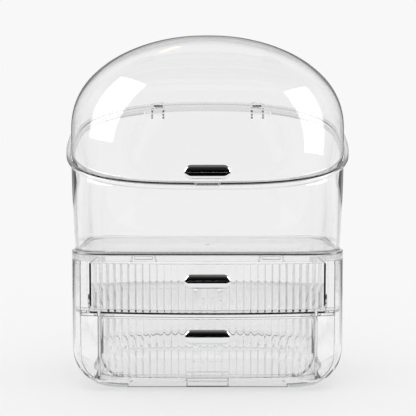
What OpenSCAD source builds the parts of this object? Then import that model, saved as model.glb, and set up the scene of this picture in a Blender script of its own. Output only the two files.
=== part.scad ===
// Clear dustproof organizer: an open tub under a slanted, domed lid, clipped on a cabinet
// with two fluted drawers. Z is up, the front faces -Y and the origin is on the table,
// under the middle of the whole part.

/* [Cabinet] */
// Width of the cabinet and of the skirt on it
body_w = 282; // [262:1:320]
// Depth of the cabinet, front to back
body_d = 176; // [168:1:205]
// Radius of its upright corners and of its lower edges
body_r = 36; // [30:1:42]
// Thickness of its walls
cabinet_wall = 2.5; // [2.3:0.1:3.2]
// Strip of front wall left beside the mouth, seen from the front
mouth_edge = 11.5; // [10:0.5:14]
// Radius of the mouth's lower corners
mouth_r = 24; // [18:1:28]
// Height of the two runners that the lower drawer slides on
runner_h = 2.7; // [2:0.1:5]

/* [Foot] */
// Height of the cabinet's underside above the table
foot_h = 9.7; // [7:0.1:14]
// How far the foot ring stands in from the cabinet's sides
foot_inset = 18; // [15:1:26]
// Radius of the foot ring's corners
foot_r = 40; // [30:1:48]
// Thickness of the foot ring
foot_wall = 3.2; // [2.4:0.1:4.5]
// Height of the four soft pads under the ring's corners
pad_h = 3.4; // [2:0.1:4.5]
// How far the pads stand out below the ring
pad_proud = 0.4; // [0.3:0.1:1]
// How far a pad runs on past its corner's curve
pad_tail = 0.5; // [0:0.5:8]
// Width of the finger recess in the front of the ring
recess_w = 42.5; // [30:0.5:50]
// Depth of that recess in the cabinet's floor
recess_d = 29; // [16:1:34]

/* [Drawers] */
// Outside height of the lower drawer
lower_h = 60; // [46:1:90]
// Outside height of the upper drawer
upper_h = 49.4; // [42:0.2:90]
// Depth of a drawer, from the middle of its front to its back
drawer_d = 128; // [100:1:150]
// Thickness of a drawer's sides, back and floor
drawer_wall = 2; // [1.6:0.1:2.6]
// Thickness of a drawer's front behind the flutes
front_wall = 2.4; // [2:0.1:3.2]
// Space between the upper drawer and the edge of the mouth
mouth_play = 9.5; // [8:0.5:12]
// How much narrower the lower drawer is on each side
lower_inset = 11.7; // [9:0.1:16]
// Radius of the lower drawer's bottom edges
lower_r = 22; // [14:1:26]
// Radius of the upright corners at a drawer's back
drawer_r = 7; // [4:0.5:12]
// How far the ends of a bowed front lie behind its middle
bow = 10; // [5:0.5:14]
// How far the middle of a front stands out before the cabinet
front_proud = 3.6; // [2:0.1:6]
// Width of one flute in the middle of a front
flute_pitch = 7.15; // [5:0.05:10]
// Height of a flute
flute_h = 1.1; // [0.6:0.1:1.6]
// Running gap under and over a drawer
slide_gap = 0.3; // [0.25:0.05:0.6]

/* [Rack] */
// Height of the shelf's front rim
shelf_rim_h = 5.4; // [4:0.1:8]
// Thickness of the shelf and of its guide walls
rack_wall = 2.4; // [1.8:0.1:3]
// Gap between a drawer's side and its guide wall
guide_gap = 1.7; // [1:0.1:2.5]
// Height of the upper drawer's guides
guide_h = 14; // [6:1:30]

/* [Handles] */
// Length of a handle's plate
handle_w = 45.8; // [38:0.1:60]
// Height of a handle's plate
handle_h = 14.4; // [12:0.1:18]
// Thickness of a handle's plate
handle_t = 4.6; // [3.5:0.1:6]
// How far the back of the plate stands off what it is fixed to
handle_off = 5.4; // [4:0.1:9]
// Radius of a handle's two pegs
peg_r = 1.6; // [1.2:0.1:2.2]
// How far a drawer handle's centre lies below the drawer's top edge
handle_drop = 16.3; // [14:0.1:22]

// Radius of the crown across a handle's plate
crown_r = 16; // [12:1:40]
// How far each peg stands in from the end of the plate
peg_in = 11; // [8:0.5:14]

/* [Clips] */
// Distance of each clip from the middle
tongue_x = 64.4; // [50:0.2:80]
// Width of a clip's tongue at its foot
tongue_w = 26; // [22:0.5:32]
// How much a tongue narrows on each side towards its top
tongue_lean = 1.6; // [0:0.1:2]
// Width of the window in a tongue
window_w = 17.4; // [12:0.2:18]
// Height of that window
window_h = 2.8; // [2:0.1:3.2]
// Width of the slots that free a tongue
slot_w = 0.9; // [0.6:0.1:1.2]
// Thickness of the lip that the tongues are cut in
lip_wall = 1.8; // [1.4:0.1:2.2]

/* [Tub] */
// Height of the skirt, from the cabinet's top to the tub's floor
skirt_h = 9; // [8:0.5:12]
// Thickness of the skirt
skirt_wall = 1.8; // [1.6:0.1:2.0]
// Thickness of the tub's walls
tub_wall = 2.4; // [2:0.1:3.2]
// Thickness of the tub's floor
tub_floor = 2.4; // [2:0.1:3.2]
// Ledge between the skirt and the foot of the tub's walls
tub_ledge = 2.3; // [1.5:0.1:4]
// How squarely the foot of the walls runs in plan, as a superellipse exponent
base_n = 6; // [4:0.5:8]

/* [Rim] */
// How far the rim's walls stand out beyond the cabinet's sides
rim_out_side = 5.2; // [2:0.1:8]
// How far the rim's walls stand out beyond the cabinet's front and back
rim_out_depth = 2.2; // [0.5:0.1:5]
// Height of the rim above the tub's floor at the front
rim_front_h = 68; // [50:1:90]
// Slope of the rim, which rises to the back
rim_slope = 25; // [15:1:30]
// Plan exponent of the front half of the rim
rim_front_n = 2.9; // [2.5:0.1:4]
// Plan exponent of the back half of the rim
rim_back_n = 2.4; // [2.3:0.1:4]
// How far the flanges stand out from the walls
flange_w = 5; // [3.5:0.1:7]
// Thickness of the tub's flange at its edge
tub_flange_t = 3.2; // [2:0.1:4.5]
// Thickness of the lid's flange
lid_flange_t = 2.6; // [2:0.1:3.5]
// Gap between the two flanges
part_gap = 0.3; // [0.25:0.05:0.5]

/* [Lid] */
// Height of the top of the dome above the rim's front
lid_h = 158.2; // [140:0.2:190]
// Upright part of the lid's wall at the front
lid_wall_front = 32; // [24:1:50]
// Upright part of the lid's wall at the back
lid_wall_back = 15.6; // [10:0.2:24]
// Roundness of the dome from side to side, as an exponent
dome_n = 2.06; // [2:0.02:2.4]
// Thickness of the lid
lid_wall = 2.4; // [2:0.1:3]
// Height of the handle's centre above the rim's front
lid_handle_z = 14; // [11.5:0.5:18]
// Width of the catch on the lid's front edge
catch_w = 23.7; // [16:0.1:30]

/* [Hinge] */
// Distance of each hinge from the middle
hinge_x = 58.8; // [45:0.1:75]
// Radius of the hinge pins
pin_r = 2; // [1.5:0.1:2.5]
// How far the pins' axis lies behind the rim
pin_back = 3.3; // [3:0.1:6]
// How far the pins' axis lies below the rim
pin_drop = 8.5; // [8:0.1:12]
// Width of the lid's arm at each hinge
arm_w = 10.4; // [8:0.1:14]
// Thickness of the ears that hold the pins
ear_t = 2.2; // [1.8:0.1:3]

/* [Hidden] */

fine = 64;              // sides drawn on a small round
coarse = 128;           // sides drawn on a large round
around = 96;            // points round each ring of the tub's and the lid's shell
dome_steps = 9;         // rings between the dome's foot and its top
top_ring = 84.4;        // degrees up the dome at which its last ring lies
wall_steps = 3;         // bands up the tub's wall
seat = 0.2;             // gap between fixed parts that are clipped together
peg_gap = 0.1;          // gap round a handle's peg
pin_gap = 0.05;         // running gap round a hinge pin
ear_gap = 0.03;         // gap round a hinge pin in its ears
side_gap = 0.3;         // gap between an arm and its ears, and beside the rack
drop_gap = 0.8;         // gap over the lower drawer
top_gap = 1.7;          // gap over the upper drawer
shelf_back = 4.1;       // how far the shelf's rim lies behind the drawers' fronts
sink = 1;               // how far a joined form reaches into the one that carries it
recess_cut = 0.8;       // depth cut away for the finger recess
recess_edge = 1.4;      // strip of ring left over the recess in it
runner_w = 3;           // width of a runner
runner_ends = 15;       // length of floor left free in front of a runner
lip_foot = 4;           // how far the lip's thick foot reaches below the cabinet's top
slot_foot = 0.6;        // height of the slots' feet above the cabinet's top
window_edge = 1;        // strip of tongue left over its window
bead_gap = 0.4;         // gap round the snap bead in a tongue's window
bead_t = 1.5;           // thickness of a snap bead, part of it inside the skirt
bead_proud = 1.2;       // how far a snap bead stands in from the skirt
guide_start = [10, 28]; // length left free in front of a lower and of an upper guide
rack_over = 4;          // how far the rack reaches past the drawers' backs
strip_d = 33.5;         // depth of the wide strip at the shelf's front
slit_w = 1.2;           // width of the slits in the shelf's rim
slit_out = 2;           // how far a slit lies outside the lower guide
flute_over = 3.6;       // how far the run of flutes reaches past the upper drawer
flute_ease = 0.045;     // how strongly the flutes grow narrower towards the ends
neck_less = [12, 6.6];  // how much smaller than the plate a handle's neck is
head_r = 1.2;           // how far a peg's staked head reaches past the peg
head_t = 1.2;           // thickness of that head
head_gap = 0.2;         // gap between the head and the wall's inside
gate_r = 2.2;           // radius of a gate mark
gate_h = 0.4;           // height of a gate mark
rim_root = 3.4;         // how far below its edge the tub's flange meets the wall
web_gap = 7.7;          // width of the web beside each pair of ears
rib_t = 1.8;            // thickness of the rib beyond the web
rib_out = 8;            // how far the rib stands out from the wall's inside
rib_h = 6;              // height of the rib and of the web
rib_drop = 7;           // how far below the pin they reach
web_out = 4;            // how far out the web stands
web_t = 2;              // thickness of the web
ear_root = [10, 2.6];   // how far an ear's root reaches below and above the pin
ear_toe = 3;            // size of the bevel under an ear's nose
ear_rim = 0.2;          // how far an ear reaches past the arm's knuckle
arm_root = 3;           // how far an arm reaches in over the flange
arm_bevel = 2;          // bevel at the top of an arm's leg
leg_gap = 0.3;          // gap between an arm's leg and the pin's side
catch_out = 2;          // how far the catch stands out before the flange
catch_t = 1.6;          // thickness of the catch's lip
catch_drop = 3;         // how far that lip hangs down
rib_mid = [9, 0.7, 1.6]; // size of the locating rib inside the skirt's front

clear = [0.90, 0.94, 0.96, 0.35];
chrome = [0.78, 0.79, 0.80];
silicone = [0.93, 0.94, 0.94, 0.6];
steel = [0.55, 0.56, 0.58];

// Heights of what stands on what
floor_z = foot_h + cabinet_wall;
lower_z = floor_z + runner_h + slide_gap;
shelf_under = lower_z + lower_h + drop_gap;
shelf_top = shelf_under + shelf_rim_h;
upper_z = shelf_top + slide_gap;
cabinet_top = upper_z + upper_h + top_gap;
tub_z = cabinet_top + skirt_h;
lip_top = tub_z - tub_floor - seat;
lip_out = skirt_wall + seat;
window_z = lip_top - window_edge - window_h;

// Drawers and the mouth
mouth_half = body_w / 2 - mouth_edge;
upper_half = mouth_half - mouth_play;
lower_half = upper_half - lower_inset;
front_y = -body_d / 2 - front_proud;
bow_r = (upper_half * upper_half + bow * bow) / (2 * bow);
bow_y = front_y + bow_r;
drawer_back_y = front_y + drawer_d;
shelf_front_y = front_y + shelf_back;
rack_back_y = drawer_back_y + rack_over;
handle_y = front_y - flute_h - peg_gap;
upper_handle_z = upper_z + upper_h - handle_drop;
lower_handle_z = lower_z + lower_h - handle_drop;

// Flutes grow narrower towards the ends of a front
flute_half = upper_half + flute_over;
flutes = round(flute_half * (1 + flute_ease) / flute_pitch);

// Rim, flange and lid
rim_a = body_w / 2 + rim_out_side;
rim_b = body_d / 2 + rim_out_depth;
edge_a = rim_a + flange_w;
edge_b = rim_b + flange_w;
rim_z = tub_z + rim_front_h;
rise = tan(rim_slope);
lid_top = rim_z + lid_h;
spring_front = rim_z + lid_wall_front;
spring_back = rim_at(rim_b) + lid_wall_back;
lid_handle_centre = rim_z + lid_handle_z;

// Hinge
pin_y = edge_b + pin_back;
pin_z = rim_at(edge_b) - pin_drop;
knuckle_r = pin_r + 2;
ear_r = knuckle_r + ear_rim;
ear_x = arm_w / 2 + side_gap;
bracket_x = ear_x + ear_t + web_gap;

// The part is centred from its foremost to its rearmost face
handle_reach = handle_off + handle_t;
front_reach = max(-handle_y, rim_b + peg_gap) + handle_reach;
back_reach = pin_y + ear_r;
middle_y = (front_reach - back_reach) / 2;

// Height of the rim's sloping plane at depth y
function rim_at(y) = rim_z + rise * (y + edge_b);

// Distance from the middle to a superellipse of half axes a and b, in direction t;
// nf is its exponent in the front half and nb in the back half
function reach(t, a, b, nf, nb) =
    let (n = sin(t) < 0 ? nf : nb)
    pow(pow(abs(cos(t)) / a, n) + pow(abs(sin(t)) / b, n), -1 / n);

// Directions of the points round a shell, closest together at the corners
directions = [for (i = [0 : around - 1])
    let (u = 360 * i / around) atan2(rim_b * sin(u), rim_a * cos(u))];

// Outline of the shell as [x, y] points: k is 0 at the tub's floor and 1 at the rim,
// out moves it outwards
function outline(k, out = 0) =
    let (a = (body_w / 2 - tub_ledge) * (1 - k) + rim_a * k + out,
         b = (body_d / 2 - tub_ledge) * (1 - k) + rim_b * k + out,
         nf = base_n * (1 - k) + rim_front_n * k,
         nb = base_n * (1 - k) + rim_back_n * k)
    [for (t = directions) let (r = reach(t, a, b, nf, nb)) [r * cos(t), r * sin(t)]];

// A ring of the tub, k of the way from its floor to drop below the rim
function tub_ring(k, out, drop) =
    let (rim = outline(1, out), here = outline(k, out), foot = tub_z - sink)
    [for (i = [0 : around - 1])
        [here[i].x, here[i].y, foot + k * (rim_at(rim[i].y) - drop - foot)]];

// A ring in the rim's plane, moved outwards and up
function rim_ring(out, up) = [for (p = outline(1, out)) [p.x, p.y, rim_at(p.y) + up]];

// Height of the dome's foot at depth y
function spring_at(y) = spring_front + (spring_back - spring_front) * (y + rim_b) / (2 * rim_b);

// A ring of the dome, a degrees up from its foot, inset by the wall for the inside
function dome_ring(a, inset) =
    let (s = cos(a), lift = pow(1 - pow(s, dome_n), 1 / dome_n))
    [for (p = outline(1, -inset))
        let (foot = spring_at(p.y))
        [p.x * s, p.y * s, foot + (lid_top - inset - foot) * lift]];

// Closed skin over a list of rings of equal length; each side face is two triangles.
// first and last are the end points of a dome, or undef for a ring-shaped body
module skin(rings, first, last) {
    n = len(rings[0]);
    m = len(rings);
    looped = is_undef(first);
    bands = looped ? m : m - 1;
    points = concat([for (r = rings) each r], looped ? [] : [first, last]);
    sides = [for (j = [0 : bands - 1]) for (i = [0 : n - 1])
        let (h = (i + 1) % n, k = (j + 1) % m)
        each [[j * n + i, k * n + i, k * n + h], [j * n + i, k * n + h, j * n + h]]];
    start = looped ? [] : [for (i = [0 : n - 1]) [m * n, i, (i + 1) % n]];
    end = looped ? [] : [for (i = [0 : n - 1])
        [(m - 1) * n + i, m * n + 1, (m - 1) * n + (i + 1) % n]];
    polyhedron(points = points, faces = concat(sides, start, end), convexity = 8);
}

// Moves a form from the cabinet's middle to the part's own origin
module placed() {
    translate([0, middle_y, 0]) children();
}

// Rectangle with round corners, about the middle
module round_rect(w, d, r) {
    square([w - 2 * r, d], center = true);
    square([w, d - 2 * r], center = true);
    for (x = [-1, 1], y = [-1, 1])
        translate([x * (w / 2 - r), y * (d / 2 - r)]) circle(r, $fn = fine);
}

// The cabinet's plan, inset all round
module plan(inset) {
    round_rect(body_w - 2 * inset, body_d - 2 * inset, body_r - inset);
}

// Front view of a form with two round lower corners, from its bottom at z to its top
module tray_view(half, z, top, r) {
    translate([-half, z + r]) square([2 * half, top - z - r]);
    translate([-half + r, z]) square([2 * (half - r), r + sink]);
    for (x = [-1, 1]) translate([x * (half - r), z + r]) circle(r, $fn = fine);
}

// Pushes a front view through the part, from y0 to y1
module through(y0, y1) {
    translate([0, y1, 0]) rotate([90, 0, 0]) linear_extrude(y1 - y0) children();
}

// Section of a wall with a round lower edge, r thick and h high
module edge_section(r, h) {
    translate([0, r]) square([r, h - r]);
    intersection() {
        translate([0, r]) circle(r, $fn = fine);
        square([r, r]);
    }
}

// Outer form of the cabinet, inset all round for the hollow in it: round lower edges at the
// sides and the back, a round corner at each end of the back, and a straight front edge
module body_form(inset, top, front = undef) {
    r = body_r - inset;
    w = body_w / 2 - inset - r;
    d = body_d / 2 - inset - r;
    z = foot_h + inset;
    intersection() {
        if (is_undef(front)) translate([0, 0, z]) linear_extrude(top - z) plan(inset);
        through(-body_d, d) tray_view(w + r, z, top + sink, r);
    }
    translate([-w, d, z]) rotate([90, 0, 90]) linear_extrude(2 * w) edge_section(r, top - z);
    for (s = [0, 1]) translate([(1 - 2 * s) * w, d, z]) rotate(90 * s)
        rotate_extrude(angle = 90, $fn = fine) edge_section(r, top - z);
}

// Plan of a drawer's box from y to its back, with round corners at the back
module box_plan(half, y, back, r) {
    translate([-half, y]) square([2 * half, back - r - y]);
    translate([-half + r, back - 2 * r]) square([2 * (half - r), 2 * r]);
    for (x = [-1, 1]) translate([x * (half - r), back - r]) circle(r, $fn = fine);
}

// Plan of a drawer's inside behind its bowed front, whose middle lies at y
module behind_bow(y, half, back, r) {
    intersection() {
        translate([0, y + bow_r]) circle(bow_r, $fn = 256);
        box_plan(half, y - sink, back, r);
    }
}

// Both handles' and drawers' stadium outline
module stadium(w, h) {
    square([w - h, h], center = true);
    for (x = [-1, 1]) translate([x * (w - h) / 2, 0]) circle(h / 2, $fn = fine);
}

// Ring of the foot in plan
module foot_plan() {
    w = body_w - 2 * foot_inset;
    d = body_d - 2 * foot_inset;
    difference() {
        round_rect(w, d, foot_r);
        round_rect(w - 2 * foot_wall, d - 2 * foot_wall, foot_r - foot_wall);
    }
}

// The corner of the foot that one pad lies under; sx and sy choose the corner
module pad_corner(sx, sy) {
    start = [body_w / 2, body_d / 2] - [1, 1] * (foot_inset + foot_r + pad_tail);
    mirror([sx < 0 ? 1 : 0, 0]) mirror([0, sy < 0 ? 1 : 0]) intersection() {
        foot_plan();
        translate(start) square(body_w);
    }
}

module foot_ring() {
    color(clear) placed() difference() {
        translate([0, 0, pad_proud]) linear_extrude(foot_h + body_r / 2) foot_plan();
        body_form(-seat, foot_h + 2 * body_r);
        for (sx = [-1, 1], sy = [-1, 1])
            linear_extrude(pad_h) pad_corner(sx, sy);
        translate([-recess_w / 2, -body_d / 2 + foot_inset - sink, pad_proud + recess_cut])
            cube([recess_w, sink + recess_cut, foot_h - pad_proud - recess_cut - recess_edge]);
    }
}

module pad(sx, sy) {
    color(silicone) placed() linear_extrude(pad_h) pad_corner(sx, sy);
}

module pad_front_left() { pad(-1, -1); }
module pad_front_right() { pad(1, -1); }
module pad_back_left() { pad(-1, 1); }
module pad_back_right() { pad(1, 1); }

// Front view of the cuts in the lip that free a tongue at each clip, and of its window
module tongue_cuts() {
    foot = cabinet_top + slot_foot;
    for (x = [-1, 1]) translate([x * tongue_x, 0]) {
        for (s = [-1, 1])
            polygon([[s * tongue_w / 2, foot],
                     [s * (tongue_w / 2 - slot_w), foot],
                     [s * (tongue_w / 2 - slot_w - tongue_lean), lip_top + sink],
                     [s * (tongue_w / 2 - tongue_lean), lip_top + sink]]);
        translate([-window_w / 2, window_z]) square([window_w, window_h]);
    }
}

module cabinet() {
    foot = cabinet_top - lip_foot;
    color(clear) placed() difference() {
        union() {
            body_form(0, cabinet_top);
            translate([0, 0, cabinet_top - sink])
                linear_extrude(lip_top - cabinet_top + sink) plan(lip_out);
        }
        // hollow up to the lip's foot, then the lip's inside
        body_form(cabinet_wall, foot);
        translate([0, 0, foot - sink])
            linear_extrude(skirt_h + lip_foot + sink) plan(lip_out + lip_wall);
        // mouth, and the clips' tongues front and back
        through(-body_d, 0) tray_view(mouth_half, floor_z, cabinet_top, mouth_r);
        through(-body_d, body_d) tongue_cuts();
        // finger recess in the floor's front edge
        translate([-recess_w / 2, -body_d / 2 - sink, floor_z - recess_cut])
            cube([recess_w, recess_d + sink, recess_cut + sink]);
    }
    // runners under the flat of the lower drawer
    color(clear) placed() for (s = [-1, 1])
        translate([s * (lower_half - lower_r - 2 * runner_w) - runner_w / 2,
                   -body_d / 2 + runner_ends, floor_z - sink])
            cube([runner_w, body_d - runner_ends - body_r, runner_h + sink]);
}

// Plan of the rack: inside the walls, and out through the mouth as far as its bowed front
module rack_plan(y) {
    intersection() {
        translate([0, y + bow_r]) circle(bow_r, $fn = 256);
        union() {
            plan(cabinet_wall + side_gap);
            translate([-mouth_half + side_gap, -body_d])
                square([2 * (mouth_half - side_gap), body_d]);
        }
    }
}

// Plan of the shelf: as wide as the mouth along its front strip, then only under the drawers
module shelf_plan() {
    reach = upper_half + guide_gap + rack_wall;
    intersection() {
        rack_plan(shelf_front_y);
        union() {
            translate([-body_w / 2, -body_d])
                square([body_w, body_d + shelf_front_y + strip_d]);
            translate([-reach, -body_d]) square([2 * reach, body_d + rack_back_y]);
        }
    }
}

module drawer_rack() {
    lower_x = lower_half + guide_gap + rack_wall / 2;
    upper_x = upper_half + guide_gap + rack_wall / 2;
    color(clear) placed() intersection() {
        difference() {
            union() {
                translate([0, 0, shelf_top - rack_wall])
                    linear_extrude(rack_wall) shelf_plan();
                translate([0, 0, shelf_under]) linear_extrude(shelf_rim_h) difference() {
                    rack_plan(shelf_front_y);
                    translate([0, shelf_front_y + rack_wall + bow_r]) circle(bow_r, $fn = 256);
                }
                for (s = [-1, 1]) {
                    translate([0, 0, floor_z]) linear_extrude(shelf_top - floor_z - sink)
                        intersection() {
                            translate([s * lower_x - rack_wall / 2,
                                       -body_d / 2 + guide_start.x])
                                square([rack_wall, rack_back_y + body_d / 2 - guide_start.x]);
                            rack_plan(shelf_front_y + rack_wall);
                        }
                    translate([s * upper_x - rack_wall / 2, -body_d / 2 + guide_start.y,
                               shelf_top - sink])
                        cube([rack_wall, rack_back_y + body_d / 2 - guide_start.y,
                              guide_h + sink]);
                }
            }
            // slits in the rim, outside the lower guides
            for (s = [-1, 1])
                translate([s * (lower_x + rack_wall / 2 + slit_out) - slit_w / 2,
                           shelf_front_y - sink, shelf_under + sink])
                    cube([slit_w, bow + rack_wall + sink, shelf_rim_h - rack_wall - sink]);
        }
        body_form(cabinet_wall + side_gap, tub_z, -body_d);
    }
}

// Edge of flute k, counted from the middle
function flute_edge(k) =
    let (u = k / flutes) flute_half * (u + flute_ease * u * (1 - pow(abs(u), 5)));

// Plan of a drawer's fluted outside
module fluted_plan(half, back) {
    intersection() {
        union() {
            translate([0, bow_y]) circle(bow_r - flute_h, $fn = 256);
            for (k = [-flutes : flutes - 1]) {
                t0 = asin(flute_edge(k) / bow_r);
                t1 = asin(flute_edge(k + 1) / bow_r);
                chord = 2 * bow_r * sin((t1 - t0) / 2);
                r = (chord * chord / 4 + flute_h * flute_h) / (2 * flute_h);
                mid = bow_r * cos((t1 - t0) / 2) + flute_h - r;
                translate([0, bow_y]) rotate((t0 + t1) / 2)
                    translate([0, -mid]) circle(r, $fn = fine);
            }
        }
        box_plan(half, front_y - flute_h - sink, back, drawer_r);
    }
}

// Two round holes through a front for a handle's pegs
module peg_holes(y, z, depth) {
    for (s = [-1, 1]) translate([s * (handle_w / 2 - peg_in), y, z])
        rotate([-90, 0, 0]) cylinder(r = peg_r + peg_gap, h = depth, $fn = fine);
}

// Small round mark left by the mould in the middle of a floor
module gate_mark(y, z) {
    translate([0, y, z - sink]) cylinder(r = gate_r, h = gate_h + sink, $fn = fine);
}

module upper_drawer() {
    h = drawer_wall;
    color(clear) placed() {
        difference() {
            translate([0, 0, upper_z]) linear_extrude(upper_h)
                fluted_plan(upper_half, drawer_back_y);
            translate([0, 0, upper_z + h]) linear_extrude(upper_h)
                behind_bow(front_y + front_wall, upper_half - h, drawer_back_y - h,
                           drawer_r - h);
            peg_holes(front_y - flute_h - sink, upper_handle_z, flute_h + front_wall + 2 * sink);
        }
        gate_mark((front_y + drawer_back_y) / 2, upper_z + h);
    }
}

// Side view of the lower drawer: straight at the front, round at the bottom of the back
module lower_side(inset) {
    r = lower_r - inset;
    y0 = front_y - flute_h - sink;
    y1 = drawer_back_y - inset;
    z0 = lower_z + inset;
    translate([y0, z0]) square([y1 - r - y0, lower_h + sink]);
    translate([y0, z0 + r]) square([y1 - y0, lower_h + sink - r]);
    translate([y1 - r, z0 + r]) circle(r, $fn = fine);
}

module lower_form(inset) {
    half = lower_half - inset;
    intersection() {
        through(front_y - flute_h - sink, drawer_back_y)
            tray_view(half, lower_z + inset, lower_z + lower_h + sink, lower_r - inset);
        rotate([90, 0, 90]) translate([0, 0, -body_w / 2])
            linear_extrude(body_w) lower_side(inset);
        children();
    }
}

module lower_drawer() {
    h = drawer_wall;
    color(clear) placed() {
        difference() {
            lower_form(0) translate([0, 0, lower_z]) linear_extrude(lower_h)
                fluted_plan(lower_half, drawer_back_y);
            lower_form(h) translate([0, 0, lower_z]) linear_extrude(lower_h + sink)
                behind_bow(front_y + front_wall, lower_half - h, drawer_back_y - h,
                           drawer_r - h);
            peg_holes(front_y - flute_h - sink, lower_handle_z, flute_h + front_wall + 2 * sink);
        }
        gate_mark((front_y + drawer_back_y) / 2, lower_z + h);
    }
}

// Pill-shaped pull: a crowned plate on a neck, with two pegs staked behind the wall.
// Its back lies in the plane y = 0 and inside is the thickness of the wall behind it
module handle(inside) {
    intersection() {
        through(-handle_reach, -handle_off) stadium(handle_w, handle_h);
        translate([-handle_w / 2, crown_r - handle_reach, 0]) rotate([0, 90, 0])
            cylinder(r = crown_r, h = handle_w, $fn = coarse);
    }
    through(-handle_off - sink, 0) stadium(handle_w - neck_less.x, handle_h - neck_less.y);
    for (s = [-1, 1]) translate([s * (handle_w / 2 - peg_in), 0, 0]) rotate([-90, 0, 0]) {
        translate([0, 0, -sink]) cylinder(r = peg_r, h = sink + inside + head_t, $fn = fine);
        translate([0, 0, inside + head_gap])
            cylinder(r = peg_r + head_r, h = head_t, $fn = fine);
    }
}

module lower_drawer_handle() {
    color(chrome) placed() translate([0, handle_y, lower_handle_z])
        handle(flute_h + front_wall + peg_gap);
}

module upper_drawer_handle() {
    color(chrome) placed() translate([0, handle_y, upper_handle_z])
        handle(flute_h + front_wall + peg_gap);
}

module lid_handle() {
    color(chrome) placed() translate([0, -rim_b - peg_gap, lid_handle_centre])
        handle(lid_wall + peg_gap);
}

// Depth of the rim's outline at a place x on its back, moved outwards
function rim_back(x, out) =
    (rim_b + out) * pow(1 - pow(x / (rim_a + out), rim_back_n), 1 / rim_back_n);

// One ear of a hinge bracket, from the tub's wall at x to round the pin
module ear(x) {
    root = rim_back(abs(x), 0) - tub_wall / 2;
    translate([x - ear_t / 2, 0, 0]) rotate([90, 0, 90]) linear_extrude(ear_t) {
        translate([pin_y, pin_z]) circle(ear_r, $fn = fine);
        polygon([[root, pin_z - ear_root.x], [root, pin_z + ear_root.y],
                 [pin_y, pin_z + ear_r], [pin_y + ear_toe, pin_z - ear_toe]]);
    }
}

// Bracket of one hinge: two ears, and a rib beyond them with a web between
module bracket(s) {
    root = rim_back(hinge_x + bracket_x, 0) - tub_wall / 2;
    difference() {
        for (x = [-ear_x - ear_t / 2, ear_x + ear_t / 2]) ear(s * (hinge_x + x));
        translate([s * hinge_x, pin_y, pin_z]) rotate([0, 90, 0])
            cylinder(r = pin_r + ear_gap, h = 3 * arm_w, center = true, $fn = fine);
    }
    translate([s * (hinge_x + bracket_x) - rib_t / 2, root, pin_z - rib_drop])
        cube([rib_t, rib_out, rib_h]);
    translate([s * (hinge_x + (bracket_x + ear_x) / 2) - (bracket_x - ear_x) / 2,
               root + web_out, pin_z - rib_drop])
        cube([bracket_x - ear_x, web_t, rib_h]);
}

module tub() {
    inner = -tub_wall;
    root = tub_flange_t + rim_root;
    shell = concat(
        [for (j = [0 : wall_steps]) tub_ring(j / wall_steps, 0, root)],
        [rim_ring(flange_w, -tub_flange_t), rim_ring(flange_w, 0), rim_ring(inner, 0)],
        [for (j = [wall_steps - 1 : -1 : 0]) tub_ring(j / wall_steps, inner, 0)]);
    color(clear) placed() {
        skin(shell);
        difference() {
            translate([0, 0, cabinet_top + seat])
                linear_extrude(tub_z - cabinet_top - seat) plan(0);
            translate([0, 0, cabinet_top + seat - sink])
                linear_extrude(skirt_h - tub_floor - seat + sink) plan(skirt_wall);
        }
        // snap beads in the skirt, one for each tongue's window
        for (x = [-1, 1], y = [-1, 1])
            translate([x * tongue_x, y * (body_d / 2 - skirt_wall - bead_proud + bead_t / 2),
                       window_z + window_h / 2])
                cube([window_w - 2 * bead_gap, bead_t, window_h - 2 * bead_gap],
                     center = true);
        // locating rib in the middle of the skirt's front
        translate([-rib_mid.x / 2, -body_d / 2 + skirt_wall + seat / 2 - rib_mid.y,
                   cabinet_top + seat])
            cube(rib_mid);
        gate_mark(0, tub_z);
        for (s = [-1, 1]) bracket(s);
    }
}

// Pin of one hinge, through both ears and the lid's arm
module hinge_pin(s) {
    length = 2 * (ear_x + ear_t);
    color(steel) placed() translate([s * hinge_x, pin_y, pin_z]) rotate([0, 90, 0])
        cylinder(r = pin_r, h = length, center = true, $fn = fine);
}

module hinge_pin_left() { hinge_pin(-1); }
module hinge_pin_right() { hinge_pin(1); }

// Arm of the lid at one hinge: level out from the flange's edge and down round the pin
module arm(s) {
    edge = rim_back(hinge_x - arm_w / 2, flange_w);
    start = rim_back(hinge_x + arm_w / 2, flange_w) - arm_root;
    leg = pin_y - pin_r - leg_gap;
    tail = pin_y + knuckle_r;
    under = part_gap;
    top = part_gap + lid_flange_t;
    difference() {
        translate([s * hinge_x - arm_w / 2, 0, 0]) rotate([90, 0, 90]) linear_extrude(arm_w) {
            translate([pin_y, pin_z]) circle(knuckle_r, $fn = fine);
            polygon([[start, rim_at(start) + under], [edge, rim_at(edge) + under],
                     [leg, rim_at(edge) + under], [leg, pin_z], [tail, pin_z],
                     [tail, rim_at(edge) + under], [tail - arm_bevel, rim_at(edge) + top],
                     [edge, rim_at(edge) + top], [start, rim_at(start) + top]]);
        }
        translate([s * hinge_x, pin_y, pin_z]) rotate([0, 90, 0])
            cylinder(r = pin_r + pin_gap, h = 2 * arm_w, center = true, $fn = fine);
    }
}

// Catch that hangs over the tub's flange in the middle of the front
module catch() {
    nose = -edge_b - catch_out;
    root = -edge_b + sink;
    z = rim_at(-edge_b) + part_gap;
    translate([-catch_w / 2, 0, 0]) rotate([90, 0, 90]) linear_extrude(catch_w)
        polygon([[nose, z - catch_drop], [nose + catch_t, z - catch_drop], [nose + catch_t, z],
                 [root, rim_at(root) + part_gap], [root, rim_at(root) + part_gap + lid_flange_t],
                 [nose, z + lid_flange_t]]);
}

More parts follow.
